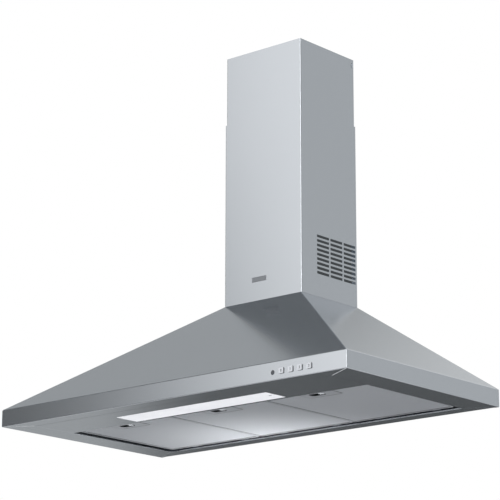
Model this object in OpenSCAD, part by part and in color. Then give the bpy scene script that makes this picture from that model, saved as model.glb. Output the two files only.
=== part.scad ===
// Wall-mounted chimney range hood: a stainless steel pyramid canopy with three grease
// filters and a lamp in its underside, a centrifugal blower inside, and a two-piece chimney.
// +X runs to the right, +Y to the wall and +Z up. The origin lies under the middle, on the underside.

/* [Canopy] */
// Width of the canopy across its front
canopy_w = 898; // [880:1:930]
// Depth of the canopy from its front face to the wall
canopy_d = 480; // [470:1:495]
// Height of the upright band round the canopy
band_h = 35; // [33:1:40]
// Height from the underside to the foot of the chimney
canopy_h = 253; // [248:1:262]
// Thickness of the stainless steel sheet
sheet_t = 1; // [0.8:0.1:1.2]
// Width of the front flange of the underside
front_flange_w = 36; // [32:1:40]
// Width of the two side flanges of the underside
side_flange_w = 63; // [58:1:68]
// Width of the rear flange of the underside
rear_flange_w = 36; // [32:1:40]
// Height of the lip folded up round the opening in the underside
lip_h = 14; // [13.8:0.1:16]
// Width of the shelf folded inwards from the top of the lip
shelf_w = 14; // [12.5:0.5:16]

/* [Chimney] */
// Width of the lower chimney section
chimney_w = 206; // [202:1:212]
// Depth of the lower chimney section, out to the wall
chimney_d = 184; // [180:1:190]
// Length of the lower chimney section
lower_h = 395; // [385:1:405]
// Length of the upper chimney section
upper_h = 395; // [385:1:405]
// Length of the upper section that shows above the lower one
upper_show = 150; // [120:1:200]
// Outer bend radius of the chimney corners
bend_r = 2; // [1.5:0.1:3]
// Width of the flanges folded in at the back of each chimney section
return_w = 14; // [10:1:18]
// Gap between the two chimney sections
slide_gap = 0.8; // [0.6:0.1:0.9]

/* [Vents] */
// Number of vent slots in each column
vent_rows = 9; // [4:1:10]
// Number of columns of vent slots
vent_columns = 3; // [1:1:3]
// Length of one vent slot
vent_l = 39.3; // [30:0.1:40]
// Height of one vent slot
vent_h = 5.7; // [4.5:0.1:6.5]
// Web between two vent slots of a row
vent_web = 4.6; // [3:0.1:5]
// Vertical distance from slot to slot
vent_pitch = 9.65; // [8:0.05:11]
// Distance from the wall to the nearest vent slot
vent_margin = 6; // [5:0.5:12]
// Height of the lowest vent slot above the foot of the chimney
vent_rise = 48; // [30:1:60]

/* [Light] */
// Depth of the lamp panel in front of the filters
lamp_panel_d = 106; // [102:1:112]
// Gap between the lamp panel and the lip round it
panel_gap = 0.8; // [0.5:0.1:0.9]
// Length of the light diffuser
diffuser_l = 391; // [380:1:400]
// Depth of the light diffuser
diffuser_d = 59; // [54:1:62]
// Thickness of the light diffuser
diffuser_t = 2; // [1.8:0.1:2.4]
// Distance from the diffuser to the rear edge of the lamp panel
diffuser_margin = 8; // [6:0.5:9]
// Height of the lamp reflector
reflector_h = 46; // [44:1:50]
// Diameter of one lamp bulb
bulb_d = 35; // [30:1:36]
// Length of one lamp bulb without its screw cap
bulb_l = 84; // [75:1:95]

/* [Filters] */
// Height of the filters' lower face above the underside
filter_z = 3.5; // [3.5:0.1:4]
// Thickness of one filter
filter_t = 9; // [8.6:0.1:10]
// Gap between the filters and the lip behind them
filter_rear_gap = 8; // [6:0.5:10]
// Gap between two filters
filter_gap = 0.8; // [0.6:0.1:1.2]
// Gap between the outer filters and the lip beside them
filter_side_gap = 11; // [9:0.5:12]
// Corner radius of one filter
filter_corner_r = 8; // [6:0.5:12]
// Width of the frame flange round the mesh
filter_rim_w = 5; // [4:0.5:8]
// Length of the latch plate
latch_l = 80; // [72:1:90]
// Depth of the latch plate
latch_d = 44; // [40:1:48]
// Travel of the latch slide
latch_travel = 4; // [3:0.5:5]

/* [Controls] */
// Width of one push-button
button_w = 11.3; // [10:0.1:12.5]
// Height of one push-button
button_h = 11; // [10:0.1:12.5]
// Distance from button to button
button_pitch = 22; // [20:0.5:24]
// Height of the button row above the underside
button_z = 16; // [15:0.5:18]
// Distance from the right end of the canopy to the last button
button_edge = 86; // [80:1:95]
// How far the buttons stand out of the band
button_proud = 2; // [1.6:0.1:2.4]
// Diameter of the indicator lamp
indicator_d = 9; // [7:0.5:10]

/* [Blower] */
// Outside diameter of the duct collar
duct_d = 150; // [146:1:152]
// Length of the duct collar
collar_h = 45; // [40:1:55]
// Outside radius of the impeller
impeller_r = 72; // [68:1:73]
// Radial depth of one impeller blade
blade_d = 12; // [10:0.5:14]
// Number of impeller blades
blade_count = 28; // [20:1:32]
// Width of the air space inside the volute
volute_w = 116; // [110:1:120]
// Radius of the volute at its tongue
scroll_start_r = 80; // [80:1:84]
// Radius of the volute at its outlet
scroll_end_r = 112; // [108:1:116]
// Wall thickness of the volute
volute_t = 2.5; // [2:0.1:3]
// Radius of the motor body
motor_r = 42; // [36:1:44]
// Length of the motor body
motor_l = 66; // [60:1:72]
// Diameter of the motor shaft
shaft_d = 8; // [6:0.5:10]
// Height from the blower's shaft to the top of the canopy
blower_drop = 113; // [110:1:118]

/* [Wall fixing] */
// Distance between the two upper wall holes
wall_hole_span = 260; // [240:1:270]
// Height of the two upper wall holes
wall_hole_z = 190; // [180:1:194]
// Distance between the two lower wall holes
low_hole_span = 600; // [560:1:640]
// Height of the two lower wall holes
low_hole_z = 24; // [20:1:28]
// Diameter of the wall holes
wall_hole_d = 8; // [6:0.5:9]
// Distance between the two holes of the chimney bracket
bracket_span = 120; // [100:1:140]
// Height of the chimney bracket
bracket_h = 24; // [20:1:30]

/* [Hidden] */

// Overrun of every cut past the face that it leaves
cut = 1;
// Gap left at rest between a piece that moves and its seat
rest_gap = 0.3;
// Radial clearance of a running fit
run_fit = 0.05;
// Facets of round faces
round_fn = 48;

// Planes of the canopy
wall_y = (canopy_d + button_proud) / 2;
front_y = wall_y - canopy_d;
chimney_y = wall_y - chimney_d / 2;
open_x = canopy_w / 2 - side_flange_w;
open_front_y = front_y + front_flange_w;
open_rear_y = wall_y - rear_flange_w;
front_slope = atan((canopy_h - band_h) / (canopy_d - chimney_d));
roof_drop = sheet_t / cos(front_slope);
deck_z = canopy_h - roof_drop;

// Chimney sections
lower_top_z = canopy_h + lower_h;
upper_top_z = lower_top_z + upper_show;
upper_bottom_z = upper_top_z - upper_h;
upper_inset = sheet_t + slide_gap;
upper_w = chimney_w - 2 * upper_inset;
upper_front_y = wall_y - chimney_d + upper_inset;
upper_rear_y = wall_y - upper_inset;
upper_d = upper_rear_y - upper_front_y;
vent_corner_r = 1.2;
vent_step = vent_l + vent_web;
slot_w = 4;
slot_h = 11;
slot_from_top = 14;
slot_from_wall = 9.5;
foot_w = 24;
foot_d = 7.5;
foot_x = 55;
foot_y = wall_y - chimney_d + sheet_t + foot_d / 2;
foot_screw_r = 2;
foot_head_r = 3;

// Chimney bracket
bracket_t = 1.5;
bracket_step = 6;
bracket_ear_d = 18;
bracket_half = upper_w / 2 - sheet_t;
bracket_back_half = upper_w / 2 - return_w - bracket_step + bracket_t;
bracket_hole_r = 3.25;
bracket_z = upper_top_z - slot_from_top - bracket_h / 2;

// Lamp panel, light and diffuser
panel_x = open_x - panel_gap;
panel_front_y = open_front_y + panel_gap;
panel_rear_y = open_front_y + lamp_panel_d;
panel_edge_h = lip_h - sheet_t;
panel_ledge_d = 8;
panel_screw_r = 1.5;
panel_screw_share = 0.72;
panel_screw_z = lip_h / 2;
diffuser_y = panel_rear_y - diffuser_margin - diffuser_d / 2;
diffuser_gap = 0.5;
rim_t = 1;
reflector_t = 0.8;
reflector_flange = 5;
reflector_top_share = 0.7;
ledge_w = 3;
screw_ledge_w = 22;
diffuser_screw_edge = 13.5;
diffuser_screw_x = diffuser_l / 2 - diffuser_screw_edge;
diffuser_screw_r = 1.6;
lamp_lift = 2;
lamp_z = diffuser_t + reflector_h / 2 + lamp_lift;
holder_r = 13;
holder_l = 28;
holder_floor = 4;
holder_foot_w = 3;
cap_r = 6.9;
cap_show = 1.5;
cap_l = holder_l - holder_floor + cap_show;
bulb_t = 1;
bulb_shares = [[0, 0], [0.4, 0], [0.46, 0.06], [0.7, 0.16], [0.88, 0.25], [0.98, 0.34], [1, 0.42],
    [0.96, 0.51], [0.84, 0.6], [0.66, 0.7], [0.44, 0.81], [0.28, 0.9], [0.16, 0.97], [0.08, 1], [0, 1]];

// Filters
filter_w = (2 * open_x - 2 * filter_side_gap - 2 * filter_gap) / 3;
filter_front_gap = 1;
filter_front_y = panel_rear_y + filter_front_gap;
filter_rear_y = open_rear_y - filter_rear_gap;
filter_d = filter_rear_y - filter_front_y;
filter_y = (filter_front_y + filter_rear_y) / 2;
filter_pitch = filter_w + filter_gap;
frame_t = 0.8;
mesh_t = 0.8;
mesh_wave_t = 0.5;
mesh_waves = 22;
mesh_fit = 0.1;
wave_flat_share = 0.25;
tab_w = 18;
tab_t = 1.6;
tab_x = 70;
tab_tail = 6;
tab_play = 0.8;
tab_slot_z = 6;
tab_slot_h = 5;
tab_z = tab_slot_z + rest_gap;

// Latch of one filter
latch_corner_r = 5;
latch_wall = 1.2;
latch_inset = 0.4;
latch_cup_h = filter_t - frame_t;
latch_y = filter_front_y + filter_rim_w + latch_d / 2;
finger_w = 34;
finger_d = 18;
finger_corner_r = 6;
finger_shift = -6;
thumb_w = 12;
thumb_d = finger_d - latch_travel - 3 * rest_gap;
tongue_w = 16;
tongue_t = 1.6;
tongue_z = filter_z + latch_cup_h - latch_wall - rest_gap - tongue_t;
spring_w = 12;
spring_turns = 4;
spring_wire = 0.8;
spring_end_r = 0.6;

// Controls
button_count = 4;
button_fit = 0.3;
button_corner_r = 1.2;
button_depth = 9;
button_travel = button_proud;
stem_w = 5;
stem_l = 8;
block_wall = 3;
block_d = 24;
indicator_gap = 21;
indicator_drop = 1;
indicator_proud = 0.6;
lens_l = 8;
last_button_x = canopy_w / 2 - button_edge;
first_button_x = last_button_x - (button_count - 1) * button_pitch;
indicator_x = first_button_x - indicator_gap;
indicator_z = button_z - indicator_drop;
block_x0 = indicator_x - indicator_d / 2 - block_wall;
block_x1 = last_button_x + button_w / 2 + 2 * block_wall;
block_y = front_y + sheet_t;
block_z0 = button_z - button_h / 2 - block_wall;
block_h = button_h + 2 * block_wall;

// Screws of the blower and the collar
collar_screw_r = 2;
screw_head_r = 4;
screw_head_h = 2.4;

// Blower
shaft_z = deck_z - blower_drop;
tongue_angle = 80;
mouth_y0_r = scroll_start_r * cos(tongue_angle);
shaft_y = chimney_y - (mouth_y0_r + scroll_end_r) / 2;
mouth_rim = 2 * (volute_t + screw_head_r + rest_gap);
mouth_flange_t = 3;
mouth_half_x = volute_w / 2;
mouth_front_y = shaft_y + mouth_y0_r;
mouth_rear_y = shaft_y + scroll_end_r;
eye_step = 2;
inlet_r = impeller_r - blade_d + eye_step;
bell_t = 2;
bell_lip_r = 5;
side_gap = 6;
impeller_w = volute_w - 2 * side_gap;
disc_t = 2;
ring_t = 2;
ring_share = 0.4;
blade_t = 1.2;
blade_lean = 16;
blade_steps = 4;
hub_r = 11;
hub_l = 16;
motor_gap = 5;
motor_x = disc_t / 2 + motor_gap;
motor_cap_r = 24;
motor_cap_l = 6;
fin_count = 12;
fin_w = 3;
fin_h = 2;
shaft_in_motor = 40;
shaft_out = 26;
nut_r = 8;
nut_l = 6;
bracket_plate_t = 3;
bracket_ring_w = 7;
bracket_arm_w = 12;
bolt_land = 6;
motor_bolt_r = inlet_r + bell_lip_r + bolt_land;
motor_bolt_hole_r = 2;
motor_arms = 3;

// Duct collar and its flaps
collar_r = duct_d / 2;
collar_t = 2;
collar_base_t = 2;
collar_rim = 8;
collar_base_half = collar_r + collar_rim;
stop_w = 4;
stop_t = 2;
flap_t = 1.5;
flap_gap = 0.5;
flap_stop_gap = 0.3;
rod_r = 2;
knuckle_wall = 1.4;
knuckle_l = 14;
knuckle_far_share = 0.65;
knuckle_near_share = 0.2;
flap_edge = rod_r + run_fit + knuckle_wall + flap_gap;
flap_r = collar_r - collar_t - flap_gap;
flap_z = canopy_h + collar_base_t + stop_t + flap_stop_gap + flap_t / 2;

// Control box on the rear panel
box_w = 150;
box_d = 44;
box_h = 66;
box_t = 2;
box_gap = 48;
box_x = -mouth_half_x - volute_t - box_gap - box_w;
box_z = 58;
box_lid_t = 2;
box_rear_y = wall_y - sheet_t;
grommet_r = 7.5;
grommet_hole_r = 5.5;
grommet_bore_r = 3.5;
grommet_t = 1.5;
grommet_x = -(chimney_w + 2 * collar_base_half) / 4 + slide_gap;
capacitor_r = 15;
capacitor_l = 56;
gland_r = 9;
gland_bore_r = 4;
gland_l = 18;
gland_nut_r = 12;
gland_nut_l = 6;

// Plain outlines and solids that several sub-parts share

// Rectangle with round corners, centred on the origin
module rounded(w, d, r) {
    square([w - 2 * r, d], center = true);
    square([w, d - 2 * r], center = true);
    for (x = [-1, 1], y = [-1, 1])
        translate([x * (w / 2 - r), y * (d / 2 - r)])
            circle(r = r, $fn = round_fn);
}

// Cylinder along X, starting at the given place
module bar_x(x, y, z, r, l) {
    translate([x, y, z])
        rotate([0, 90, 0])
            cylinder(r = r, h = l, $fn = round_fn);
}

// Screw with a low round head, its shank pointing up from the underside of the head
module screw(r, l, head_r, head_h) {
    cylinder(r = r, h = l, $fn = round_fn);
    translate([0, 0, -head_h])
        difference() {
            cylinder(r = head_r, h = head_h, $fn = round_fn);
            for (turn = [0, 90])
                rotate(turn)
                    translate([-head_r * 0.6, -head_r * 0.12, -cut])
                        cube([head_r * 1.2, head_r * 0.24, cut + head_h * 0.4]);
        }
}

// Canopy: the outer form, and the hollow that leaves its sheet

module canopy_form(back) {
    half = canopy_w / 2;
    top_half = chimney_w / 2;
    top_y = wall_y - chimney_d;
    translate([-half, front_y, 0])
        cube([canopy_w, canopy_d + back, band_h]);
    polyhedron(
        points = [[-half, front_y, band_h], [half, front_y, band_h], [half, wall_y, band_h],
            [-half, wall_y, band_h], [-top_half, top_y, canopy_h], [top_half, top_y, canopy_h],
            [top_half, wall_y, canopy_h], [-top_half, wall_y, canopy_h]],
        faces = [[0, 1, 2, 3], [4, 5, 1, 0], [7, 6, 5, 4], [5, 6, 2, 1], [6, 7, 3, 2], [7, 4, 0, 3]]);
}

module canopy_hollow() {
    intersection() {
        union() {
            translate([0, 0, -roof_drop])
                canopy_form(cut);
            translate([0, cut, -roof_drop])
                canopy_form(cut);
        }
        translate([-canopy_w / 2 + sheet_t, front_y + sheet_t, sheet_t])
            cube([canopy_w - 2 * sheet_t, canopy_d, canopy_h]);
    }
}

module button_places() {
    for (i = [0 : button_count - 1])
        translate([first_button_x + i * button_pitch, front_y, button_z])
            rotate([90, 0, 0])
                children();
}

module canopy() {
    color("lightsteelblue")
    difference() {
        union() {
            difference() {
                canopy_form(0);
                canopy_hollow();
            }
            translate([-open_x - sheet_t, open_front_y - sheet_t, 0])
                cube([2 * open_x + 2 * sheet_t, open_rear_y - open_front_y + 2 * sheet_t, lip_h]);
        }
        translate([-open_x, open_front_y, -cut])
            cube([2 * open_x, open_rear_y - open_front_y, lip_h - sheet_t + cut]);
        translate([-open_x + shelf_w, open_front_y + shelf_w, -cut])
            cube([2 * open_x - 2 * shelf_w, open_rear_y - open_front_y - 2 * shelf_w, lip_h + 2 * cut]);
        for (i = [-1 : 1], side = [-1, 1])
            translate([i * filter_pitch + side * tab_x - tab_w / 2 - tab_play, open_rear_y - cut, tab_slot_z])
                cube([tab_w + 2 * tab_play, sheet_t + 2 * cut, tab_slot_h]);
        panel_screw_places()
            translate([0, 0, -cut])
                cylinder(r = panel_screw_r, h = sheet_t + 2 * cut, $fn = round_fn);
        translate([-mouth_half_x, mouth_front_y, deck_z - cut])
            cube([2 * mouth_half_x, mouth_rear_y - mouth_front_y, roof_drop + 2 * cut]);
        for (x = [-1, 1], y = [mouth_front_y - mouth_rim / 2, mouth_rear_y + mouth_rim / 2])
            translate([x * (mouth_half_x - mouth_rim / 2), y, deck_z - cut])
                cylinder(r = collar_screw_r, h = roof_drop + 2 * cut, $fn = round_fn);
        for (x = [-foot_x, foot_x])
            translate([x, foot_y, deck_z - cut])
                cylinder(r = foot_screw_r, h = roof_drop + 2 * cut, $fn = round_fn);
        translate([grommet_x, chimney_y, deck_z - cut])
            cylinder(r = grommet_hole_r, h = roof_drop + 2 * cut, $fn = round_fn);
        button_places()
            translate([0, 0, -sheet_t - cut])
                linear_extrude(sheet_t + 2 * cut)
                    rounded(button_w + 2 * button_fit, button_h + 2 * button_fit, button_corner_r + button_fit);
        translate([indicator_x, front_y - cut, indicator_z])
            rotate([-90, 0, 0])
                cylinder(d = indicator_d, h = sheet_t + 2 * cut, $fn = round_fn);
    }
}

module rear_panel() {
    color("silver")
    difference() {
        intersection() {
            canopy_hollow();
            translate([-canopy_w / 2, wall_y - sheet_t, 0])
                cube([canopy_w, sheet_t, canopy_h]);
        }
        for (side = [-1, 1])
            for (place = [[wall_hole_span / 2, wall_hole_z], [low_hole_span / 2, low_hole_z]])
                translate([side * place[0], wall_y + cut, place[1]])
                    rotate([90, 0, 0])
                        cylinder(d = wall_hole_d, h = sheet_t + 2 * cut, $fn = round_fn);
    }
}

// Chimney: one folded section, open at the top, the bottom and most of the back

module chimney_plan(w, d) {
    difference() {
        rounded(w, d, bend_r);
        rounded(w - 2 * sheet_t, d - 2 * sheet_t, bend_r - sheet_t);
        translate([-w / 2 + return_w, 0])
            square([w - 2 * return_w, d]);
    }
}

module vent_places() {
    for (row = [0 : vent_rows - 1], column = [0 : vent_columns - 1])
        translate([wall_y - vent_margin - vent_l / 2 - column * vent_step,
                canopy_h + vent_rise + vent_h / 2 + row * vent_pitch])
            children();
}

module chimney_lower() {
    color("gainsboro") {
        difference() {
            translate([0, chimney_y, canopy_h])
                linear_extrude(lower_h)
                    chimney_plan(chimney_w, chimney_d);
            for (side = [-1, 1])
                translate([side * (chimney_w - sheet_t) / 2 - sheet_t / 2 - cut, 0, 0])
                    rotate([90, 0, 90])
                        linear_extrude(sheet_t + 2 * cut)
                            vent_places()
                                rounded(vent_l, vent_h, vent_corner_r);
        }
        for (x = [-foot_x, foot_x])
            difference() {
                translate([x - foot_w / 2, wall_y - chimney_d + sheet_t / 2, canopy_h])
                    cube([foot_w, foot_d + sheet_t / 2, sheet_t]);
                translate([x, foot_y, canopy_h - cut])
                    cylinder(r = foot_screw_r, h = sheet_t + 2 * cut, $fn = round_fn);
            }
    }
}

module chimney_screws() {
    color("dimgray")
    for (x = [-foot_x, foot_x])
        translate([x, foot_y, canopy_h + sheet_t])
            mirror([0, 0, 1])
                screw(foot_screw_r - run_fit, roof_drop + 4 * sheet_t, foot_head_r, screw_head_h / 2);
}

module chimney_upper() {
    color("gainsboro")
    difference() {
        translate([0, (upper_front_y + upper_rear_y) / 2, upper_bottom_z])
            linear_extrude(upper_h)
                chimney_plan(upper_w, upper_d);
        for (side = [-1, 1])
            translate([side * (upper_w - sheet_t) / 2 - sheet_t / 2 - cut, wall_y - slot_from_wall,
                    upper_top_z - slot_from_top])
                rotate([90, 0, 90])
                    linear_extrude(sheet_t + 2 * cut)
                        rounded(slot_w, slot_h, slot_w * 0.45);
    }
}

// Wall bracket of the upper section: a back plate with a stepped, folded ear at each end
module chimney_bracket() {
    color("darkgray")
    difference() {
        translate([0, wall_y, bracket_z])
            linear_extrude(bracket_h)
                for (side = [0, 1])
                    mirror([side, 0])
                        union() {
                            translate([-cut, -bracket_t])
                                square([bracket_back_half + cut, bracket_t]);
                            translate([bracket_back_half - bracket_t, -bracket_step - bracket_t])
                                square([bracket_t, bracket_step + bracket_t]);
                            translate([bracket_back_half - bracket_t, -bracket_step - bracket_t])
                                square([bracket_half - bracket_back_half + bracket_t, bracket_t]);
                            translate([bracket_half - bracket_t, -bracket_step - bracket_ear_d])
                                square([bracket_t, bracket_ear_d]);
                        }
        for (side = [-1, 1])
            translate([side * bracket_span / 2, wall_y + cut, bracket_z + bracket_h / 2])
                rotate([90, 0, 0])
                    cylinder(r = bracket_hole_r, h = bracket_t + 2 * cut, $fn = round_fn);
        bar_x(-bracket_half - cut, wall_y - slot_from_wall, bracket_z + bracket_h / 2,
            foot_screw_r, 2 * bracket_half + 2 * cut);
    }
}

// Lamp panel: a tray folded up on all four edges, with a keeper slot for each filter latch

// Places of the panel's screws on the outer face of the lip, their z pointing into the opening
module panel_screw_places() {
    for (share = [-panel_screw_share, 0, panel_screw_share])
        translate([share * panel_x, open_front_y - sheet_t, panel_screw_z])
            rotate([-90, 0, 0])
                children();
    for (side = [0, 1])
        mirror([side, 0, 0])
            translate([-open_x - sheet_t, open_front_y + lamp_panel_d / 2, panel_screw_z])
                rotate([0, 90, 0])
                    children();
}

module lamp_panel() {
    color("lightsteelblue")
    difference() {
        union() {
            difference() {
                translate([-panel_x, panel_front_y, 0])
                    cube([2 * panel_x, panel_rear_y - panel_front_y, panel_edge_h]);
                translate([-panel_x + sheet_t, panel_front_y + sheet_t, sheet_t])
                    cube([2 * panel_x - 2 * sheet_t, panel_rear_y - panel_front_y - 2 * sheet_t, panel_edge_h]);
            }
            translate([-open_x + shelf_w + panel_gap, panel_rear_y - sheet_t, panel_edge_h - sheet_t])
                cube([2 * open_x - 2 * shelf_w - 2 * panel_gap, sheet_t, 2 * sheet_t]);
            translate([-open_x + shelf_w + panel_gap, panel_rear_y - sheet_t, panel_edge_h])
                cube([2 * open_x - 2 * shelf_w - 2 * panel_gap, panel_ledge_d + sheet_t, sheet_t]);
            translate([0, diffuser_y, 0])
                linear_extrude(diffuser_t)
                    square([diffuser_l + 2 * diffuser_gap + 2 * rim_t, diffuser_d + 2 * diffuser_gap + 2 * rim_t],
                        center = true);
        }
        translate([0, diffuser_y, -cut])
            linear_extrude(diffuser_t + 2 * cut)
                square([diffuser_l + 2 * diffuser_gap, diffuser_d + 2 * diffuser_gap], center = true);
        for (i = [-1 : 1])
            translate([i * filter_pitch - tongue_w / 2 - rest_gap, panel_rear_y - sheet_t - cut,
                    tongue_z - rest_gap])
                cube([tongue_w + 2 * rest_gap, sheet_t + 2 * cut, tongue_t + 2 * rest_gap]);
        panel_screw_places()
            cylinder(r = panel_screw_r, h = 2 * sheet_t + panel_gap + cut, $fn = round_fn);
    }
}

module panel_screws() {
    color("silver")
    panel_screw_places()
        screw(panel_screw_r - run_fit, 4 * sheet_t + panel_gap, 2 * panel_screw_r, panel_screw_r);
}

// Outline of the reflector across the lamp, from flange to flange
module reflector_plan(grow) {
    low = diffuser_d / 2 - ledge_w + grow;
    high = low * reflector_top_share;
    polygon([[-low, 0], [-high, reflector_h - reflector_t + grow], [high, reflector_h - reflector_t + grow],
        [low, 0]]);
}

module light_reflector() {
    half = diffuser_l / 2 - ledge_w;
    color("whitesmoke")
    translate([0, diffuser_y, diffuser_t])
        difference() {
            union() {
                translate([-half - reflector_t, 0, 0])
                    rotate([90, 0, 90])
                        linear_extrude(2 * half + 2 * reflector_t)
                            reflector_plan(reflector_t);
                translate([-half - ledge_w - reflector_flange, -diffuser_d / 2 - reflector_flange, 0])
                    cube([2 * half + 2 * ledge_w + 2 * reflector_flange, diffuser_d + 2 * reflector_flange,
                        reflector_t]);
            }
            translate([-half + screw_ledge_w, 0, -cut])
                rotate([90, 0, 90])
                    linear_extrude(2 * half - 2 * screw_ledge_w)
                        polygon([[-diffuser_d / 2 + ledge_w, 0], [-diffuser_d / 2 + ledge_w, 2 * cut],
                            [diffuser_d / 2 - ledge_w, 2 * cut], [diffuser_d / 2 - ledge_w, 0]]);
            difference() {
                translate([-half, 0, 0])
                    rotate([90, 0, 90])
                        linear_extrude(2 * half)
                            reflector_plan(0);
                translate([-half - cut, -diffuser_d, -cut])
                    cube([screw_ledge_w + cut, 2 * diffuser_d, cut + reflector_t]);
                translate([half - screw_ledge_w, -diffuser_d, -cut])
                    cube([screw_ledge_w + cut, 2 * diffuser_d, cut + reflector_t]);
            }
            translate([diffuser_screw_x, 0, -cut])
                cylinder(r = diffuser_screw_r, h = reflector_t + 2 * cut, $fn = round_fn);
        }
}

module light_diffuser() {
    color("white")
    translate([0, diffuser_y, 0])
        difference() {
            linear_extrude(diffuser_t)
                rounded(diffuser_l, diffuser_d, diffuser_t);
            translate([diffuser_screw_x, 0, -cut])
                cylinder(r = diffuser_screw_r, h = diffuser_t + 2 * cut, $fn = round_fn);
            translate([diffuser_screw_x, 0, -cut])
                cylinder(r = 2 * diffuser_screw_r, h = diffuser_t / 2 + cut, $fn = round_fn);
        }
}

module diffuser_screw() {
    color("dimgray")
    translate([diffuser_screw_x, diffuser_y, diffuser_t / 2])
        screw(diffuser_screw_r - run_fit, diffuser_t + 2 * reflector_t, 2 * diffuser_screw_r - run_fit,
            diffuser_t / 2);
}

// Screw-in lamps, one from each end of the reflector

module lamp_holders() {
    color("ivory")
    for (side = [0, 1])
        mirror([side, 0, 0])
            difference() {
                union() {
                    bar_x(-diffuser_l / 2 + ledge_w, diffuser_y, lamp_z, holder_r, holder_l);
                    bar_x(-diffuser_l / 2 + ledge_w, diffuser_y, lamp_z, holder_r + holder_foot_w, holder_floor);
                }
                bar_x(-diffuser_l / 2 + ledge_w + holder_floor, diffuser_y, lamp_z, cap_r + run_fit, holder_l);
            }
}

module lamp_bulbs() {
    color("snow")
    for (side = [0, 1])
        mirror([side, 0, 0])
            translate([-diffuser_l / 2 + ledge_w + holder_floor, diffuser_y, lamp_z])
                rotate([0, 90, 0])
                    rotate_extrude($fn = round_fn)
                        union() {
                            square([cap_r, cap_l]);
                            translate([0, cap_l])
                                difference() {
                                    polygon([for (s = bulb_shares) [s[0] * bulb_d / 2, s[1] * bulb_l]]);
                                    translate([0, bulb_t])
                                        polygon([for (s = bulb_shares)
                                            [s[0] * (bulb_d / 2 - bulb_t), s[1] * (bulb_l - 4 * bulb_t)]]);
                                }
                        }
}

// Filters: an aluminium channel frame round two mesh sheets and a corrugated layer

module filter_place(i) {
    translate([i * filter_pitch, filter_y, filter_z])
        children();
}

module latch_place(i) {
    translate([i * filter_pitch, latch_y, filter_z])
        children();
}

module filter_frame(i) {
    color("lightgray")
    difference() {
        union() {
            filter_place(i)
                linear_extrude(filter_t)
                    rounded(filter_w, filter_d, filter_corner_r);
            for (side = [-1, 1])
                translate([i * filter_pitch + side * tab_x - tab_w / 2, filter_rear_y - frame_t, tab_z])
                    cube([tab_w, open_rear_y + sheet_t + tab_tail - filter_rear_y + frame_t, tab_t]);
        }
        filter_place(i)
            translate([0, 0, frame_t])
                linear_extrude(filter_t - 2 * frame_t)
                    rounded(filter_w - 2 * frame_t, filter_d - 2 * frame_t, filter_corner_r - frame_t);
        filter_place(i)
            translate([0, 0, -cut])
                linear_extrude(filter_t + 2 * cut)
                    rounded(filter_w - 2 * filter_rim_w, filter_d - 2 * filter_rim_w,
                        filter_corner_r - filter_rim_w);
        latch_place(i)
            translate([-tongue_w / 2 - rest_gap, -latch_d / 2 - filter_rim_w - cut,
                    tongue_z - filter_z - rest_gap])
                cube([tongue_w + 2 * rest_gap, 2 * cut, tongue_t + 2 * rest_gap]);
    }
}

// Section of the corrugated layer, as wide as the frame's channel
module wave_plan() {
    span = filter_w - 2 * frame_t - 2 * mesh_fit;
    pitch = span / mesh_waves;
    low = frame_t + mesh_t;
    high = filter_t - frame_t - mesh_t - mesh_wave_t;
    shares = [[0, 0], [wave_flat_share, 0], [0.5, 1], [0.5 + wave_flat_share, 1]];
    top = [for (k = [0 : mesh_waves - 1], s = shares)
        [-span / 2 + (k + s[0]) * pitch, low + s[1] * (high - low)]];
    line = concat(top, [[span / 2, low]]);
    back = [for (k = [len(line) - 1 : -1 : 0]) line[k] + [0, mesh_wave_t]];
    polygon(concat(line, back));
}

module filter_mesh(i) {
    sheet_w = filter_w - 2 * frame_t - 2 * mesh_fit;
    sheet_d = filter_d - 2 * frame_t - 2 * mesh_fit;
    color("silver")
    difference() {
        filter_place(i) {
            for (z = [frame_t, filter_t - frame_t - mesh_t])
                translate([0, 0, z])
                    linear_extrude(mesh_t)
                        rounded(sheet_w, sheet_d, filter_corner_r - frame_t);
            translate([0, sheet_d / 2 - filter_corner_r, 0])
                rotate([90, 0, 0])
                    linear_extrude(sheet_d - 2 * filter_corner_r)
                        wave_plan();
        }
        latch_place(i)
            translate([0, 0, -cut])
                linear_extrude(filter_t + 2 * cut)
                    square([latch_l, latch_d], center = true);
        latch_place(i)
            translate([-latch_l / 2, -latch_d, -cut])
                cube([latch_l, latch_d, filter_t + 2 * cut]);
    }
}

// Latch: a closed cup with a finger hole, and a spring slide with a tongue that points to the keeper

module latch_plate(i) {
    color("slategray")
    latch_place(i)
        difference() {
            translate([0, 0, latch_inset])
                linear_extrude(latch_cup_h - latch_inset)
                    rounded(latch_l, latch_d, latch_corner_r);
            translate([0, 0, latch_inset + latch_wall])
                linear_extrude(latch_cup_h - latch_inset - 2 * latch_wall)
                    rounded(latch_l - 2 * latch_wall, latch_d - 2 * latch_wall, latch_corner_r - latch_wall);
            translate([finger_shift, 0, -cut])
                linear_extrude(latch_inset + latch_wall + 2 * cut)
                    rounded(finger_w, finger_d, finger_corner_r);
            translate([-tongue_w / 2 - rest_gap, -latch_d / 2 - cut, tongue_z - filter_z - rest_gap])
                cube([tongue_w + 2 * rest_gap, latch_wall + 2 * cut, tongue_t + 2 * rest_gap]);
        }
}

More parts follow.
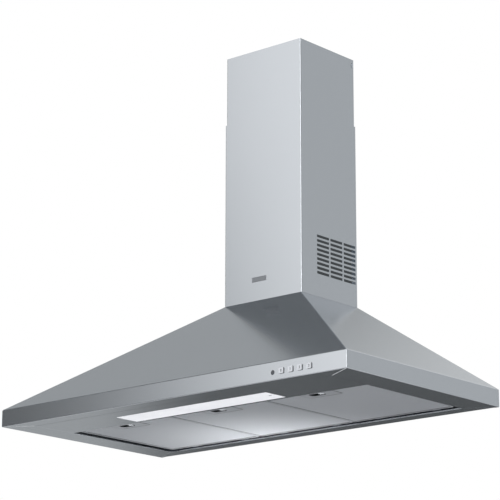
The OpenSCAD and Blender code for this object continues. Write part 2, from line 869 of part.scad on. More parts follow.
module latch_slide(i) {
    tongue_front = -latch_d / 2 - filter_rim_w - filter_front_gap + rest_gap;
    bar_rear = finger_d / 2;
    thumb_x = finger_shift + finger_w / 2 - rest_gap - thumb_w;
    color("white")
    latch_place(i) {
        translate([-tongue_w / 2, tongue_front, tongue_z - filter_z])
            cube([tongue_w, bar_rear - tongue_front, tongue_t]);
        translate([thumb_x, -finger_d / 2 + rest_gap, latch_inset + rest_gap])
            linear_extrude(tongue_z - filter_z - latch_inset)
                translate([thumb_w / 2, thumb_d / 2])
                    rounded(thumb_w, thumb_d, finger_corner_r - rest_gap);
        translate([-tongue_w / 2, 0, tongue_z - filter_z])
            cube([thumb_x + thumb_w + tongue_w / 2, bar_rear / 2, tongue_t]);
    }
}

// Flat zigzag spring between the slide and the back of the plate
module latch_spring(i) {
    start = finger_d / 2 + spring_end_r;
    step = (latch_d / 2 - latch_wall - spring_end_r - start) / spring_turns;
    lean = atan(step / spring_w);
    color("silver")
    latch_place(i)
        translate([0, start, tongue_z - filter_z]) {
            for (k = [0 : spring_turns])
                translate([(k % 2 - 0.5) * spring_w, k * step, 0])
                    cylinder(r = spring_end_r, h = tongue_t, $fn = round_fn);
            for (k = [0 : spring_turns - 1])
                translate([(k % 2 - 0.5) * spring_w, k * step, 0])
                    rotate(k % 2 == 0 ? lean : 180 - lean)
                        translate([0, -spring_wire / 2, 0])
                            cube([spring_w / cos(lean), spring_wire, tongue_t]);
        }
}

// Controls behind the band

module switch_block() {
    color("dimgray")
    difference() {
        translate([block_x0, block_y, block_z0])
            cube([block_x1 - block_x0, block_d, block_h]);
        button_places()
            translate([0, 0, -sheet_t - button_depth - button_travel])
                linear_extrude(button_depth + button_travel + cut)
                    rounded(button_w + 2 * button_fit, button_h + 2 * button_fit, button_corner_r + button_fit);
        button_places()
            translate([0, 0, -sheet_t - button_depth - stem_l - 2 * button_travel])
                linear_extrude(stem_l + 2 * button_travel + cut)
                    square([stem_w + 2 * button_fit, stem_w + 2 * button_fit], center = true);
        translate([indicator_x, front_y, indicator_z])
            rotate([-90, 0, 0])
                cylinder(d = indicator_d, h = lens_l, $fn = round_fn);
    }
}

// Push-button number i, counted from the left: a cap with a square stem behind it
module button(i) {
    color("gainsboro")
    translate([first_button_x + i * button_pitch, front_y, button_z])
        rotate([90, 0, 0]) {
            translate([0, 0, -button_depth])
                linear_extrude(button_depth + button_proud)
                    rounded(button_w, button_h, button_corner_r);
            translate([0, 0, -button_depth - stem_l])
                linear_extrude(stem_l + cut)
                    square([stem_w, stem_w], center = true);
        }
}

module indicator_lens() {
    color("darkslategray")
    translate([indicator_x, front_y - indicator_proud, indicator_z])
        rotate([-90, 0, 0])
            rotate_extrude($fn = round_fn)
                polygon([[0, 0], [indicator_d * 0.36, 0], [indicator_d / 2, indicator_proud],
                    [indicator_d / 2, lens_l], [0, lens_l]]);
}

// Blower: a spiral volute in two halves round a double-inlet impeller

// Outline of the volute's air space, seen along X and grown by the wall, centred on the shaft
function scroll_r(a) = scroll_start_r
    * pow(scroll_end_r / scroll_start_r, (a - tongue_angle) / (360 - tongue_angle));
function scroll_points(grow) =
    let (first = acos((mouth_y0_r - grow) / (scroll_start_r + grow)), steps = 44)
    [for (k = [0 : steps])
        let (a = first + (360 - first) * k / steps)
        (scroll_r(a) + grow) * [cos(a), sin(a)]];

module scroll_plan(grow) {
    top = deck_z - shaft_z;
    polygon(concat([[mouth_y0_r - grow, top]], scroll_points(grow), [[scroll_end_r + grow, top]]));
}

module volute_half() {
    rotate([90, 0, 90])
        linear_extrude(volute_w / 2)
            difference() {
                scroll_plan(volute_t);
                scroll_plan(0);
            }
    translate([volute_w / 2, 0, 0])
        rotate([90, 0, 90])
            linear_extrude(volute_t)
                difference() {
                    scroll_plan(volute_t);
                    circle(r = inlet_r + bell_lip_r, $fn = round_fn);
                }
    translate([volute_w / 2, 0, 0])
        rotate([0, 90, 0])
            rotate_extrude($fn = round_fn)
                difference() {
                    translate([inlet_r, -bell_lip_r + volute_t])
                        square([bell_lip_r + bell_t, bell_lip_r]);
                    translate([inlet_r + bell_lip_r, -bell_lip_r + volute_t])
                        circle(r = bell_lip_r - bell_t, $fn = round_fn);
                    translate([inlet_r + bell_lip_r, -2 * bell_lip_r + volute_t])
                        square([bell_lip_r, 2 * bell_lip_r - volute_t]);
                }
    difference() {
        translate([0, mouth_y0_r - mouth_rim, deck_z - shaft_z - mouth_flange_t])
            cube([volute_w / 2, scroll_end_r - mouth_y0_r + 2 * mouth_rim, mouth_flange_t]);
        translate([-cut, mouth_y0_r, deck_z - shaft_z - mouth_flange_t - cut])
            cube([volute_w / 2 + cut, scroll_end_r - mouth_y0_r, mouth_flange_t + 2 * cut]);
        for (y = [mouth_y0_r - mouth_rim / 2, scroll_end_r + mouth_rim / 2])
            translate([mouth_half_x - mouth_rim / 2, y, deck_z - shaft_z - mouth_flange_t - cut])
                cylinder(r = collar_screw_r, h = mouth_flange_t + 2 * cut, $fn = round_fn);
    }
}

module motor_bolt_places() {
    for (k = [0 : motor_arms - 1])
        rotate([k * 360 / motor_arms, 0, 0])
            translate([volute_w / 2, 0, motor_bolt_r])
                children();
}

module volute_left() {
    color("darkslategray")
    translate([0, shaft_y, shaft_z])
        mirror([1, 0, 0])
            volute_half();
}

module volute_right() {
    color("darkslategray")
    translate([0, shaft_y, shaft_z])
        difference() {
            volute_half();
            motor_bolt_places()
                translate([-cut, 0, 0])
                    rotate([0, 90, 0])
                        cylinder(r = motor_bolt_hole_r, h = volute_t + 2 * cut, $fn = round_fn);
        }
}

// One forward-curved blade, as a thin curved outline across the shaft
module blade_plan() {
    function spot(t, side) =
        let (r = impeller_r - blade_d + t * blade_d, a = blade_lean * t * t + side * blade_t * 90 / (PI * r))
        r * [cos(a), sin(a)];
    polygon(concat([for (k = [0 : blade_steps]) spot(k / blade_steps, -1)],
        [for (k = [blade_steps : -1 : 0]) spot(k / blade_steps, 1)]));
}

module impeller() {
    color("dimgray")
    translate([0, shaft_y, shaft_z])
        rotate([90, 0, 90])
            difference() {
                union() {
                    translate([0, 0, -impeller_w / 2])
                        linear_extrude(impeller_w)
                            for (k = [0 : blade_count - 1])
                                rotate(k * 360 / blade_count)
                                    blade_plan();
                    for (side = [0, 1])
                        mirror([0, 0, side])
                            translate([0, 0, impeller_w / 2 - ring_t])
                                linear_extrude(ring_t)
                                    difference() {
                                        circle(r = impeller_r + blade_t, $fn = round_fn);
                                        circle(r = impeller_r - blade_d * ring_share, $fn = round_fn);
                                    }
                    translate([0, 0, -disc_t / 2])
                        cylinder(r = impeller_r - blade_d * ring_share, h = disc_t, $fn = round_fn);
                    translate([0, 0, -hub_l + disc_t])
                        cylinder(r = hub_r, h = hub_l, $fn = round_fn);
                }
                translate([0, 0, -hub_l])
                    cylinder(d = shaft_d, h = 2 * hub_l, $fn = round_fn);
            }
}

module motor_shaft() {
    color("silver")
    bar_x(-shaft_out, shaft_y, shaft_z, shaft_d / 2, shaft_out + motor_x + shaft_in_motor);
}

module impeller_nut() {
    color("gold")
    translate([-hub_l + disc_t - nut_l, shaft_y, shaft_z])
        rotate([0, 90, 0])
            difference() {
                cylinder(r = nut_r, h = nut_l, $fn = 6);
                translate([0, 0, -cut])
                    cylinder(d = shaft_d, h = nut_l + 2 * cut, $fn = round_fn);
            }
}

module motor_body() {
    color("lightslategray")
    translate([motor_x, shaft_y, shaft_z])
        rotate([0, 90, 0])
            difference() {
                union() {
                    cylinder(r = motor_r, h = motor_l, $fn = round_fn);
                    translate([0, 0, motor_l])
                        cylinder(r = motor_cap_r, h = motor_cap_l, $fn = round_fn);
                    for (k = [0 : fin_count - 1])
                        rotate((k + 0.5) * 360 / fin_count)
                            translate([motor_r - fin_h, -fin_w / 2, motor_l * 0.12])
                                cube([2 * fin_h, fin_w, motor_l * 0.56]);
                }
                translate([0, 0, -cut])
                    cylinder(d = shaft_d + 2 * run_fit, h = shaft_in_motor + rest_gap + cut, $fn = round_fn);
            }
}

module motor_bracket() {
    color("silver")
    translate([volute_w / 2 + volute_t, shaft_y, shaft_z])
        difference() {
            rotate([0, 90, 0])
                linear_extrude(bracket_plate_t)
                    difference() {
                        union() {
                            circle(r = motor_r + bracket_ring_w, $fn = round_fn);
                            for (k = [0 : motor_arms - 1])
                                rotate(k * 360 / motor_arms + 180)
                                    translate([0, -bracket_arm_w / 2])
                                        square([motor_bolt_r + bracket_arm_w / 2, bracket_arm_w]);
                        }
                        circle(r = motor_r, $fn = round_fn);
                    }
            translate([-volute_w / 2, 0, 0])
                motor_bolt_places()
                    translate([-cut, 0, 0])
                        rotate([0, 90, 0])
                            cylinder(r = motor_bolt_hole_r, h = bracket_plate_t + 2 * cut, $fn = round_fn);
        }
}

module motor_screws() {
    color("dimgray")
    translate([0, shaft_y, shaft_z])
        motor_bolt_places()
            translate([volute_t + bracket_plate_t, 0, 0])
                rotate([0, -90, 0])
                    screw(motor_bolt_hole_r - run_fit, volute_t + bracket_plate_t + 2 * sheet_t, screw_head_r,
                        screw_head_h);
}

// Duct collar on the canopy's top, with two flaps that keep air from falling back

module outlet_collar() {
    color("dimgray")
    translate([0, chimney_y, canopy_h])
        difference() {
            union() {
                linear_extrude(collar_base_t)
                    rounded(2 * collar_base_half, 2 * collar_base_half, 4 * collar_t);
                cylinder(r = collar_r, h = collar_base_t + collar_h, $fn = 2 * round_fn);
            }
            translate([0, 0, collar_base_t + stop_t])
                cylinder(r = collar_r - collar_t, h = collar_h + cut, $fn = 2 * round_fn);
            translate([0, 0, -cut])
                cylinder(r = collar_r - collar_t - stop_w, h = collar_h, $fn = 2 * round_fn);
            bar_x(-collar_r - cut, 0, flap_z - canopy_h, rod_r, 2 * collar_r + 2 * cut);
            for (x = [-1, 1], y = [mouth_front_y - mouth_rim / 2, mouth_rear_y + mouth_rim / 2])
                translate([x * (mouth_half_x - mouth_rim / 2), y - chimney_y, -cut])
                    cylinder(r = collar_screw_r, h = collar_base_t + 2 * cut, $fn = round_fn);
        }
}

module collar_screws() {
    color("silver")
    for (x = [-1, 1], y = [mouth_front_y - mouth_rim / 2, mouth_rear_y + mouth_rim / 2])
        translate([x * (mouth_half_x - mouth_rim / 2), y, deck_z - mouth_flange_t])
            screw(collar_screw_r - run_fit, mouth_flange_t + roof_drop + collar_base_t, screw_head_r,
                screw_head_h);
}

module flap_rod() {
    color("silver")
    bar_x(-collar_r, chimney_y, flap_z, rod_r, 2 * collar_r);
}

// Half-round flap on the rod; turn is 0 for the front flap and 1 for the rear one
module flap(turn) {
    color("gray")
    translate([0, chimney_y, flap_z])
        rotate(turn * 180)
            difference() {
                union() {
                    translate([0, 0, -flap_t / 2])
                        linear_extrude(flap_t)
                            difference() {
                                circle(r = flap_r, $fn = 2 * round_fn);
                                translate([-collar_r, -flap_edge])
                                    square([2 * collar_r, collar_r + flap_edge]);
                            }
                    for (x = [-collar_r * knuckle_far_share, collar_r * knuckle_near_share]) {
                        bar_x(x, 0, 0, rod_r + run_fit + knuckle_wall, knuckle_l);
                        translate([x, -flap_edge - knuckle_wall, -flap_t / 2])
                            cube([knuckle_l, flap_edge + knuckle_wall, flap_t]);
                    }
                }
                bar_x(-collar_r, 0, 0, rod_r + run_fit, 2 * collar_r);
            }
}

// Control box on the rear panel, with the inlet for the mains lead

module control_box() {
    color("darkgray")
    difference() {
        translate([box_x, box_rear_y - box_d, box_z])
            cube([box_w, box_d, box_h]);
        translate([box_x + box_t, box_rear_y - box_d - cut, box_z + box_t])
            cube([box_w - 2 * box_t, box_d - box_t + cut, box_h - 2 * box_t]);
        bar_x(box_x + box_w - box_t - cut, box_rear_y - box_d / 2, box_z + box_h / 2, gland_r, box_t + 2 * cut);
    }
}

module control_box_cover() {
    color("gray")
    difference() {
        translate([box_x, box_rear_y - box_d - box_lid_t, box_z])
            cube([box_w, box_lid_t, box_h]);
        for (k = [1 : 6])
            translate([box_x + box_w * k / 7 - box_t / 2, box_rear_y - box_d - box_lid_t - cut, box_z + box_h / 4])
                cube([box_t, box_lid_t / 2 + cut, box_h / 2]);
    }
}

module terminal_block() {
    ways = 5;
    way_w = 9;
    block_t = 14;
    tall = 18;
    color("white")
    translate([box_x + box_w * 0.28, box_rear_y - box_t - block_t, box_z + box_t])
        difference() {
            cube([ways * way_w, block_t, tall]);
            for (k = [0 : ways - 1])
                translate([(k + 0.5) * way_w, -cut, tall / 2])
                    rotate([-90, 0, 0])
                        cylinder(r = way_w / 4, h = block_t / 2 + cut, $fn = round_fn);
        }
}

module capacitor() {
    color("white")
    translate([box_x + box_w * 0.32, box_rear_y - box_d / 2, box_z + box_h + capacitor_r]) {
        rotate([0, 90, 0])
            cylinder(r = capacitor_r, h = capacitor_l, $fn = round_fn);
        translate([capacitor_l * 0.3, -capacitor_r, -capacitor_r])
            cube([capacitor_l * 0.3, 2 * capacitor_r, capacitor_r]);
    }
}

module cable_gland() {
    color("black")
    translate([box_x + box_w, box_rear_y - box_d / 2, box_z + box_h / 2])
        rotate([0, 90, 0])
            difference() {
                union() {
                    translate([0, 0, -box_t - gland_nut_l])
                        cylinder(r = gland_r, h = box_t + gland_nut_l + gland_l, $fn = round_fn);
                    cylinder(r = gland_nut_r, h = gland_nut_l, $fn = 6);
                }
                translate([0, 0, -box_t - gland_nut_l - cut])
                    cylinder(r = gland_bore_r, h = box_t + gland_nut_l + gland_l + 2 * cut, $fn = round_fn);
            }
}

// Grommet in the canopy's top, where the mains lead would pass
module lead_grommet() {
    color("black")
    translate([grommet_x, chimney_y, deck_z - grommet_t])
        rotate_extrude($fn = round_fn)
            difference() {
                translate([grommet_bore_r, 0])
                    square([grommet_r - grommet_bore_r, roof_drop + 2 * grommet_t]);
                translate([grommet_hole_r, grommet_t])
                    square([grommet_r, roof_drop]);
            }
}

canopy();
rear_panel();
chimney_lower();
chimney_upper();
chimney_bracket();
chimney_screws();
lamp_panel();
panel_screws();
light_reflector();
light_diffuser();
diffuser_screw();
lamp_holders();
lamp_bulbs();
filter_frame(-1);  // filter_frame_left
filter_frame(0);  // filter_frame_centre
filter_frame(1);  // filter_frame_right
filter_mesh(-1);  // filter_mesh_left
filter_mesh(0);  // filter_mesh_centre
filter_mesh(1);  // filter_mesh_right
latch_plate(-1);  // latch_plate_left
latch_plate(0);  // latch_plate_centre
latch_plate(1);  // latch_plate_right
latch_slide(-1);  // latch_slide_left
latch_slide(0);  // latch_slide_centre
latch_slide(1);  // latch_slide_right
latch_spring(-1);  // latch_spring_left
latch_spring(0);  // latch_spring_centre
latch_spring(1);  // latch_spring_right
switch_block();
button(0);  // button_1
button(1);  // button_2
button(2);  // button_3
button(3);  // button_4
indicator_lens();
volute_left();
volute_right();
outlet_collar();
collar_screws();
flap_rod();
flap(0);  // flap_front
flap(1);  // flap_rear
motor_body();
motor_bracket();
motor_screws();
motor_shaft();
impeller();
impeller_nut();
control_box();
control_box_cover();
terminal_block();
capacitor();
cable_gland();
lead_grommet();
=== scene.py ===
"""Looks of a wall-mounted chimney range hood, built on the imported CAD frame.
Metres, +X right, +Y to the wall, +Z up, the origin under the middle on the underside.
The sizes of pieces are named in millimetres and turned into metres by MM where they are used."""
import math

import bpy
from mathutils import Matrix, Vector


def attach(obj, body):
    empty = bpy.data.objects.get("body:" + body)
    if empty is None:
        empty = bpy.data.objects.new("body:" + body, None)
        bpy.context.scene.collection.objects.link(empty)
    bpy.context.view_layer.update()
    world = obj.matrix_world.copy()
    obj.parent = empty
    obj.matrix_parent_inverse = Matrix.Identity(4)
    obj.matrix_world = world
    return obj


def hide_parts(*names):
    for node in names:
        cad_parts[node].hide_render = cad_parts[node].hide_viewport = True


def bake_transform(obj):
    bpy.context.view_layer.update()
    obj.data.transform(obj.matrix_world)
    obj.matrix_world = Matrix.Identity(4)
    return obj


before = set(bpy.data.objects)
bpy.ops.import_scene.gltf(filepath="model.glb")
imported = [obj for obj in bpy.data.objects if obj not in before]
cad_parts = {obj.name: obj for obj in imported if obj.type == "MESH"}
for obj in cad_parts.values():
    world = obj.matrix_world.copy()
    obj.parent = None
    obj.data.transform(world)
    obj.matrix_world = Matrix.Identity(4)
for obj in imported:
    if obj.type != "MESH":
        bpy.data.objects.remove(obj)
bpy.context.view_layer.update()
scene = bpy.context.scene
MM = 0.001

# camera
# Placed on the photograph: seen from the front right and from below the hood.
AZIMUTH, ELEVATION, ROLL = (math.radians(a) for a in (40.6908, -15.1325, 0.0890))
EYE = (2.835276, -3.280016, -0.826280)
LENS_MM, SENSOR_MM, CAMERA_REACH = 158.72, 36, 60


def place_camera():
    """Puts the camera where the photograph was taken from."""
    flat = math.cos(ELEVATION)
    back = Vector((math.sin(AZIMUTH) * flat, -math.cos(AZIMUTH) * flat, math.sin(ELEVATION)))
    right = Vector((math.cos(AZIMUTH), math.sin(AZIMUTH), 0))
    up = back.cross(right)
    side = math.cos(ROLL) * right + math.sin(ROLL) * up
    top = -math.sin(ROLL) * right + math.cos(ROLL) * up
    lens = bpy.data.cameras.new("camera")
    lens.lens = LENS_MM
    lens.sensor_width = SENSOR_MM
    lens.clip_end = CAMERA_REACH
    camera = bpy.data.objects.new("camera", lens)
    scene.collection.objects.link(camera)
    turn = Matrix((side, top, back)).transposed().to_4x4()
    camera.matrix_world = Matrix.Translation(EYE) @ turn
    scene.camera = camera


place_camera()

# materials


def linear(hex_colour):
    """An sRGB hex colour as linear RGBA."""
    parts = [int(hex_colour[k:k + 2], 16) / 255 for k in (1, 3, 5)]
    return [c / 12.92 if c <= 0.04045 else ((c + 0.055) / 1.055) ** 2.4 for c in parts] + [1]


def add(tree, kind, settings=(), **links):
    """Adds a node of that kind with its settings; links are input = value, colour or (node, output)."""
    node = tree.nodes.new(kind)
    for key, value in dict(settings).items():
        setattr(node, key, value)
    for name, value in links.items():
        socket = node.inputs[int(name[1:])] if name[0] == "_" else node.inputs[name.replace("_", " ")]
        if isinstance(value, tuple) and isinstance(value[0], bpy.types.Node):
            tree.links.new(value[0].outputs[value[1]], socket)
        else:
            socket.default_value = value
    return node


def new_material(name, colour, metallic, roughness):
    """A material whose shader has its plain values set; returns it with its tree, shader and coordinates."""
    material = bpy.data.materials.new(name)
    material.use_nodes = True
    tree = material.node_tree
    shader = tree.nodes["Principled BSDF"]
    shader.inputs["Base Color"].default_value = linear(colour)
    shader.inputs["Metallic"].default_value = metallic
    shader.inputs["Roughness"].default_value = roughness
    place = add(tree, "ShaderNodeTexCoord")
    return material, tree, shader, place


def bare_material(name):
    """A material without any nodes; returns it with its tree."""
    material = bpy.data.materials.new(name)
    material.use_nodes = True
    material.node_tree.nodes.clear()
    return material, material.node_tree


SIDE_FACE = 0.45  # a face whose normal has more than this along X is brushed along Y
ROUGH_SPREAD = 0.03
SCRATCH_BUMP, SCRATCH_DEEP = 0.04, 0.02  # the second in mm
DRIFTS_PER_M, DRIFT = 3.0, 0.03  # the sheet's tone drifts this often and this much


def brushed_metal(name, colour, roughness, grain_mm, run_mm, metallic=1.0):
    """Metal worked in one direction, rolled, brushed or turned: its scratches soften what it mirrors.
    The scratches are drawn several times wider than the real 0.05 mm, which would not show."""
    material, tree, shader, place = new_material(name, colour, metallic, roughness)
    facing = add(tree, "ShaderNodeSeparateXYZ", _0=(place, "Normal"))
    sideways = add(tree, "ShaderNodeMath", {"operation": "ABSOLUTE"}, _0=(facing, 0))
    is_side = add(tree, "ShaderNodeMath", {"operation": "GREATER_THAN"}, _0=(sideways, 0), _1=SIDE_FACE)
    grains = []
    for scale in ((1 / run_mm, 1 / grain_mm, 1 / grain_mm), (1 / grain_mm, 1 / run_mm, 1 / grain_mm)):
        stretch = add(tree, "ShaderNodeMapping", Vector=(place, "Object"), Scale=[s / MM for s in scale])
        grains.append(add(tree, "ShaderNodeTexNoise", Vector=(stretch, 0), Scale=1.0, Detail=2.0,
                          Roughness=0.6))
    grain = add(tree, "ShaderNodeMix", {"data_type": "FLOAT"}, Factor=(is_side, 0),
                A=(grains[0], 0), B=(grains[1], 0))
    cloud = add(tree, "ShaderNodeTexNoise", Vector=(place, "Object"), Scale=DRIFTS_PER_M, Detail=2.0)
    rough = add(tree, "ShaderNodeMapRange", _0=(grain, 0),
                _3=roughness - ROUGH_SPREAD, _4=roughness + ROUGH_SPREAD)
    tree.links.new(rough.outputs[0], shader.inputs["Roughness"])
    base = linear(colour)
    tint = add(tree, "ShaderNodeMix", {"data_type": "RGBA"}, _0=(cloud, 0),
               _6=[c * (1 - DRIFT) for c in base[:3]] + [1],
               _7=[min(1, c * (1 + DRIFT)) for c in base[:3]] + [1])
    tree.links.new(tint.outputs[2], shader.inputs["Base Color"])
    bump = add(tree, "ShaderNodeBump", Strength=SCRATCH_BUMP, Distance=SCRATCH_DEEP * MM, Height=(grain, 0))
    tree.links.new(bump.outputs[0], shader.inputs["Normal"])
    return material


CELL_ASPECT = 1.8  # a cell's length along X over its width along Y
# the cells' hollows get painted shade and their strands a painted sheen
HOLLOW_SHADE, STRAND_SHEEN = 0.78, 1.06
MESH_BUMP, MESH_DEEP = 0.15, 0.3  # the second in mm


def expanded_mesh(name, colour, metallic, roughness, cell_mm):
    """Fine expanded aluminium: diamond cells that scatter the light.
    The cells are drawn a little coarser than the real 2 mm, so that they show."""
    material, tree, shader, place = new_material(name, colour, metallic, roughness)
    axes = add(tree, "ShaderNodeSeparateXYZ", _0=(place, "Object"))
    waves = []
    for kind in ("ADD", "SUBTRACT"):
        across = add(tree, "ShaderNodeMath", {"operation": "MULTIPLY"}, _0=(axes, 1), _1=CELL_ASPECT)
        slant = add(tree, "ShaderNodeMath", {"operation": kind}, _0=(axes, 0), _1=(across, 0))
        turns = add(tree, "ShaderNodeMath", {"operation": "MULTIPLY"}, _0=(slant, 0),
                    _1=2 * math.pi / (cell_mm * MM))
        waves.append(add(tree, "ShaderNodeMath", {"operation": "SINE"}, _0=(turns, 0)))
    cell = add(tree, "ShaderNodeMath", {"operation": "MAXIMUM"}, _0=(waves[0], 0), _1=(waves[1], 0))
    base = linear(colour)
    tint = add(tree, "ShaderNodeMapRange", {"data_type": "FLOAT_VECTOR"}, _6=(cell, 0),
               _7=(-1, -1, -1), _8=(1, 1, 1), _9=[c * HOLLOW_SHADE for c in base[:3]],
               _10=[min(1, c * STRAND_SHEEN) for c in base[:3]])
    tree.links.new(tint.outputs[1], shader.inputs["Base Color"])
    bump = add(tree, "ShaderNodeBump", Strength=MESH_BUMP, Distance=MESH_DEEP * MM, Height=(cell, 0))
    tree.links.new(bump.outputs[0], shader.inputs["Normal"])
    return material


GRAIN_BUMP = 0.25
PATCHES_PER_M = 12.0
PATCH_DARK, PATCH_PALE = 0.9, 1.08


def fine_grained(name, colour, roughness, grit_mm=0.6, depth=0.1):
    """Moulded, sprayed or glazed: no metal, with a fine grain or ripple that breaks up its highlights."""
    material, tree, shader, place = new_material(name, colour, 0.0, roughness)
    grit = add(tree, "ShaderNodeTexNoise", Vector=(place, "Object"), Scale=1 / (grit_mm * MM), Detail=2.0)
    bump = add(tree, "ShaderNodeBump", Strength=GRAIN_BUMP, Distance=depth * MM, Height=(grit, 0))
    tree.links.new(bump.outputs[0], shader.inputs["Normal"])
    patch = add(tree, "ShaderNodeTexNoise", Vector=(place, "Object"), Scale=PATCHES_PER_M, Detail=3.0)
    base = linear(colour)
    tint = add(tree, "ShaderNodeMix", {"data_type": "RGBA"}, _0=(patch, 0),
               _6=[c * PATCH_DARK for c in base[:3]] + [1],
               _7=[min(1, c * PATCH_PALE) for c in base[:3]] + [1])
    tree.links.new(tint.outputs[2], shader.inputs["Base Color"])
    return material


# Each is named for the real material and how its surface was made; the comment says what that gives the eye.
# Rolled and brushed: long scratches draw out and soften what the sheet mirrors.
steel = brushed_metal("brushed_stainless_steel", "#D2D6DB", 0.18, 0.35, 60)
# Ground bead: paler than the sheet beside it, a painted highlight.
weld_highlight_steel = brushed_metal("weld_bead_painted_highlight", "#F2F4F6", 0.3, 0.3, 2, 0.3)
# Dipped in zinc: dull grey with soft patches.
galvanised = brushed_metal("galvanised_steel", "#A9AEB3", 0.42, 3.0, 8)
# Zinc plated: cool and half bright on screws, rods and springs.
plated = brushed_metal("zinc_plated_steel", "#C3C6C9", 0.3, 0.3, 3)
# Slit and stretched: diamond cells scatter the light, so that the filter glows softly.
aluminium = expanded_mesh("expanded_aluminium_mesh", "#CBCED2", 0.9, 0.45, 3.0)
# Folded strip: satin, like the mesh it holds; its sides get painted shade, as down in a narrow gap.
rim_metal = brushed_metal("folded_aluminium_rim", "#C4C7CB", 0.45, 0.4, 5, 0.9)
# Pressed plate: satin, with a painted shade line in the gap where it lies in the filter, and painted shade on
# its sides.
latch_metal = brushed_metal("pressed_aluminium_plate", "#C6C9CD", 0.42, 0.3, 4, 0.9)
# Moulded and sprayed silver: smooth, with a soft shine.
latch_chrome = fine_grained("silver_sprayed_plastic", "#D3D6DA", 0.25, 0.4, 0.02)
# Moulded in a spark-eroded tool: dull and finely grained.
grey_plastic = fine_grained("moulded_grey_polypropylene", "#4C4F54", 0.5)
black_plastic = fine_grained("moulded_black_nylon", "#1A1B1E", 0.45)
# Moulded and cured: black, without any shine.
rubber = fine_grained("moulded_black_rubber", "#131314", 0.8)
# Moulded and painted: pale caps that stand out from the steel, with painted shade on their side walls.
button_plastic = fine_grained("silver_painted_plastic", "#DFE2E6", 0.35, 0.3, 0.03)
# Moulded in a polished tool: a dark, glossy dot.
lens_plastic = fine_grained("polished_smoked_acrylic", "#4E5257", 0.12, 2.0, 0.01)
# Extruded and milky: white, with a faint painted glow from its own emission.
opal = fine_grained("extruded_opal_polycarbonate", "#F3F4F8", 0.4, 0.5, 0.03)
OPAL_PAINTED_GLOW = 0.06
opal.node_tree.nodes["Principled BSDF"].inputs["Emission Strength"].default_value = OPAL_PAINTED_GLOW
# Fired with a glaze: smooth, warm white, with sharp highlights.
ceramic = fine_grained("glazed_ceramic", "#E9E6DC", 0.2, 1.5, 0.05)
# Stoved enamel: a glassy white coat with a slight ripple.
enamel = fine_grained("stoved_white_enamel", "#EEEFEE", 0.22, 1.2, 0.04)
# Sprayed on a casting: dark, with a half gloss.
motor_paint = fine_grained("sprayed_dark_motor_paint", "#2B2D30", 0.38, 0.8, 0.06)
# Turned on a lathe: warm yellow metal with fine rings of light.
brass = brushed_metal("turned_brass", "#C9A457", 0.25, 0.2, 2)
# Etched inside: pale, without mirrored shapes.
glass = fine_grained("frosted_lamp_glass", "#F4F3EE", 0.45, 0.8, 0.03)
# Stamped and anodised: darker than the chimney it sits on, with painted shade on its edges.
plate_metal = brushed_metal("stamped_anodised_aluminium", "#A0A3A8", 0.34, 0.25, 6)
# Pad-printed: flat and dark.
ink = fine_grained("dark_pad_print", "#2A2C30", 0.5, 0.4, 0.01)


def scale_colour(material, factor):
    """Multiplies the material's base colour by what that node gives."""
    tree = material.node_tree
    colour = tree.nodes["Principled BSDF"].inputs["Base Color"]
    scaled = add(tree, "ShaderNodeVectorMath", {"operation": "SCALE"}, _3=(factor, 0))
    tree.links.new(colour.links[0].from_socket, scaled.inputs[0])
    tree.links.new(scaled.outputs[0], colour)


SIDE_FROM, SIDE_TO = 0.6, 0.85  # between these, a normal's share along the axis turns from side to face
GAP_SHADE = 0.2  # how dark the painted shade in a narrow gap is beside the faces round it


def shade_sides(material, axis, share):
    """Paints shade on the faces that don't look along the axis: a thin plate's edges, down in a narrow gap."""
    tree = material.node_tree
    place = add(tree, "ShaderNodeTexCoord")
    parts = add(tree, "ShaderNodeSeparateXYZ", _0=(place, "Normal"))
    along = add(tree, "ShaderNodeMath", {"operation": "ABSOLUTE"}, _0=(parts, axis))
    scale_colour(material, add(tree, "ShaderNodeMapRange", _0=(along, 0), _1=SIDE_FROM, _2=SIDE_TO,
                               _3=share, _4=1.0))


FACE_DEEP = 0.2  # mm above a plate's underside that still belong to its face
LINE_FROM = 0.7  # the painted shade line is dark up to this share of its width, and then fades
ACROSS_SHARE = 0.4  # how much of the distance to a front or rear edge counts


def outline_plates(material, plate, pitch_mm, line_mm):
    """Paints the shade in the narrow gap round each plate as a dark line; the plates stand in a row, one pitch
    apart.
    The front and rear lines are drawn wider, because the photograph looks along the underside."""
    tree = material.node_tree
    bottom = min(v.co.z for v in plate.data.vertices)
    face = [v.co for v in plate.data.vertices if v.co.z < bottom + FACE_DEEP * MM]
    place = add(tree, "ShaderNodeTexCoord")
    axes = add(tree, "ShaderNodeSeparateXYZ", _0=(place, "Object"))
    folded = add(tree, "ShaderNodeMath", {"operation": "WRAP"}, _0=(axes, 0),
                 _1=pitch_mm / 2 * MM, _2=-pitch_mm / 2 * MM)
    gaps = []
    for k, source in enumerate((folded, axes)):
        low, high = min(v[k] for v in face), max(v[k] for v in face)
        off = add(tree, "ShaderNodeMath", {"operation": "SUBTRACT"}, _0=(source, k), _1=(low + high) / 2)
        size = add(tree, "ShaderNodeMath", {"operation": "ABSOLUTE"}, _0=(off, 0))
        gap = add(tree, "ShaderNodeMath", {"operation": "SUBTRACT"}, _0=(high - low) / 2, _1=(size, 0))
        gaps.append(add(tree, "ShaderNodeMath", {"operation": "MULTIPLY"}, _0=(gap, 0),
                        _1=(1, ACROSS_SHARE)[k]))
    nearest = add(tree, "ShaderNodeMath", {"operation": "MINIMUM"}, _0=(gaps[0], 0), _1=(gaps[1], 0))
    scale_colour(material, add(tree, "ShaderNodeMapRange", _0=(nearest, 0), _1=LINE_FROM * line_mm * MM,
                               _2=line_mm * MM, _3=GAP_SHADE, _4=1.0))


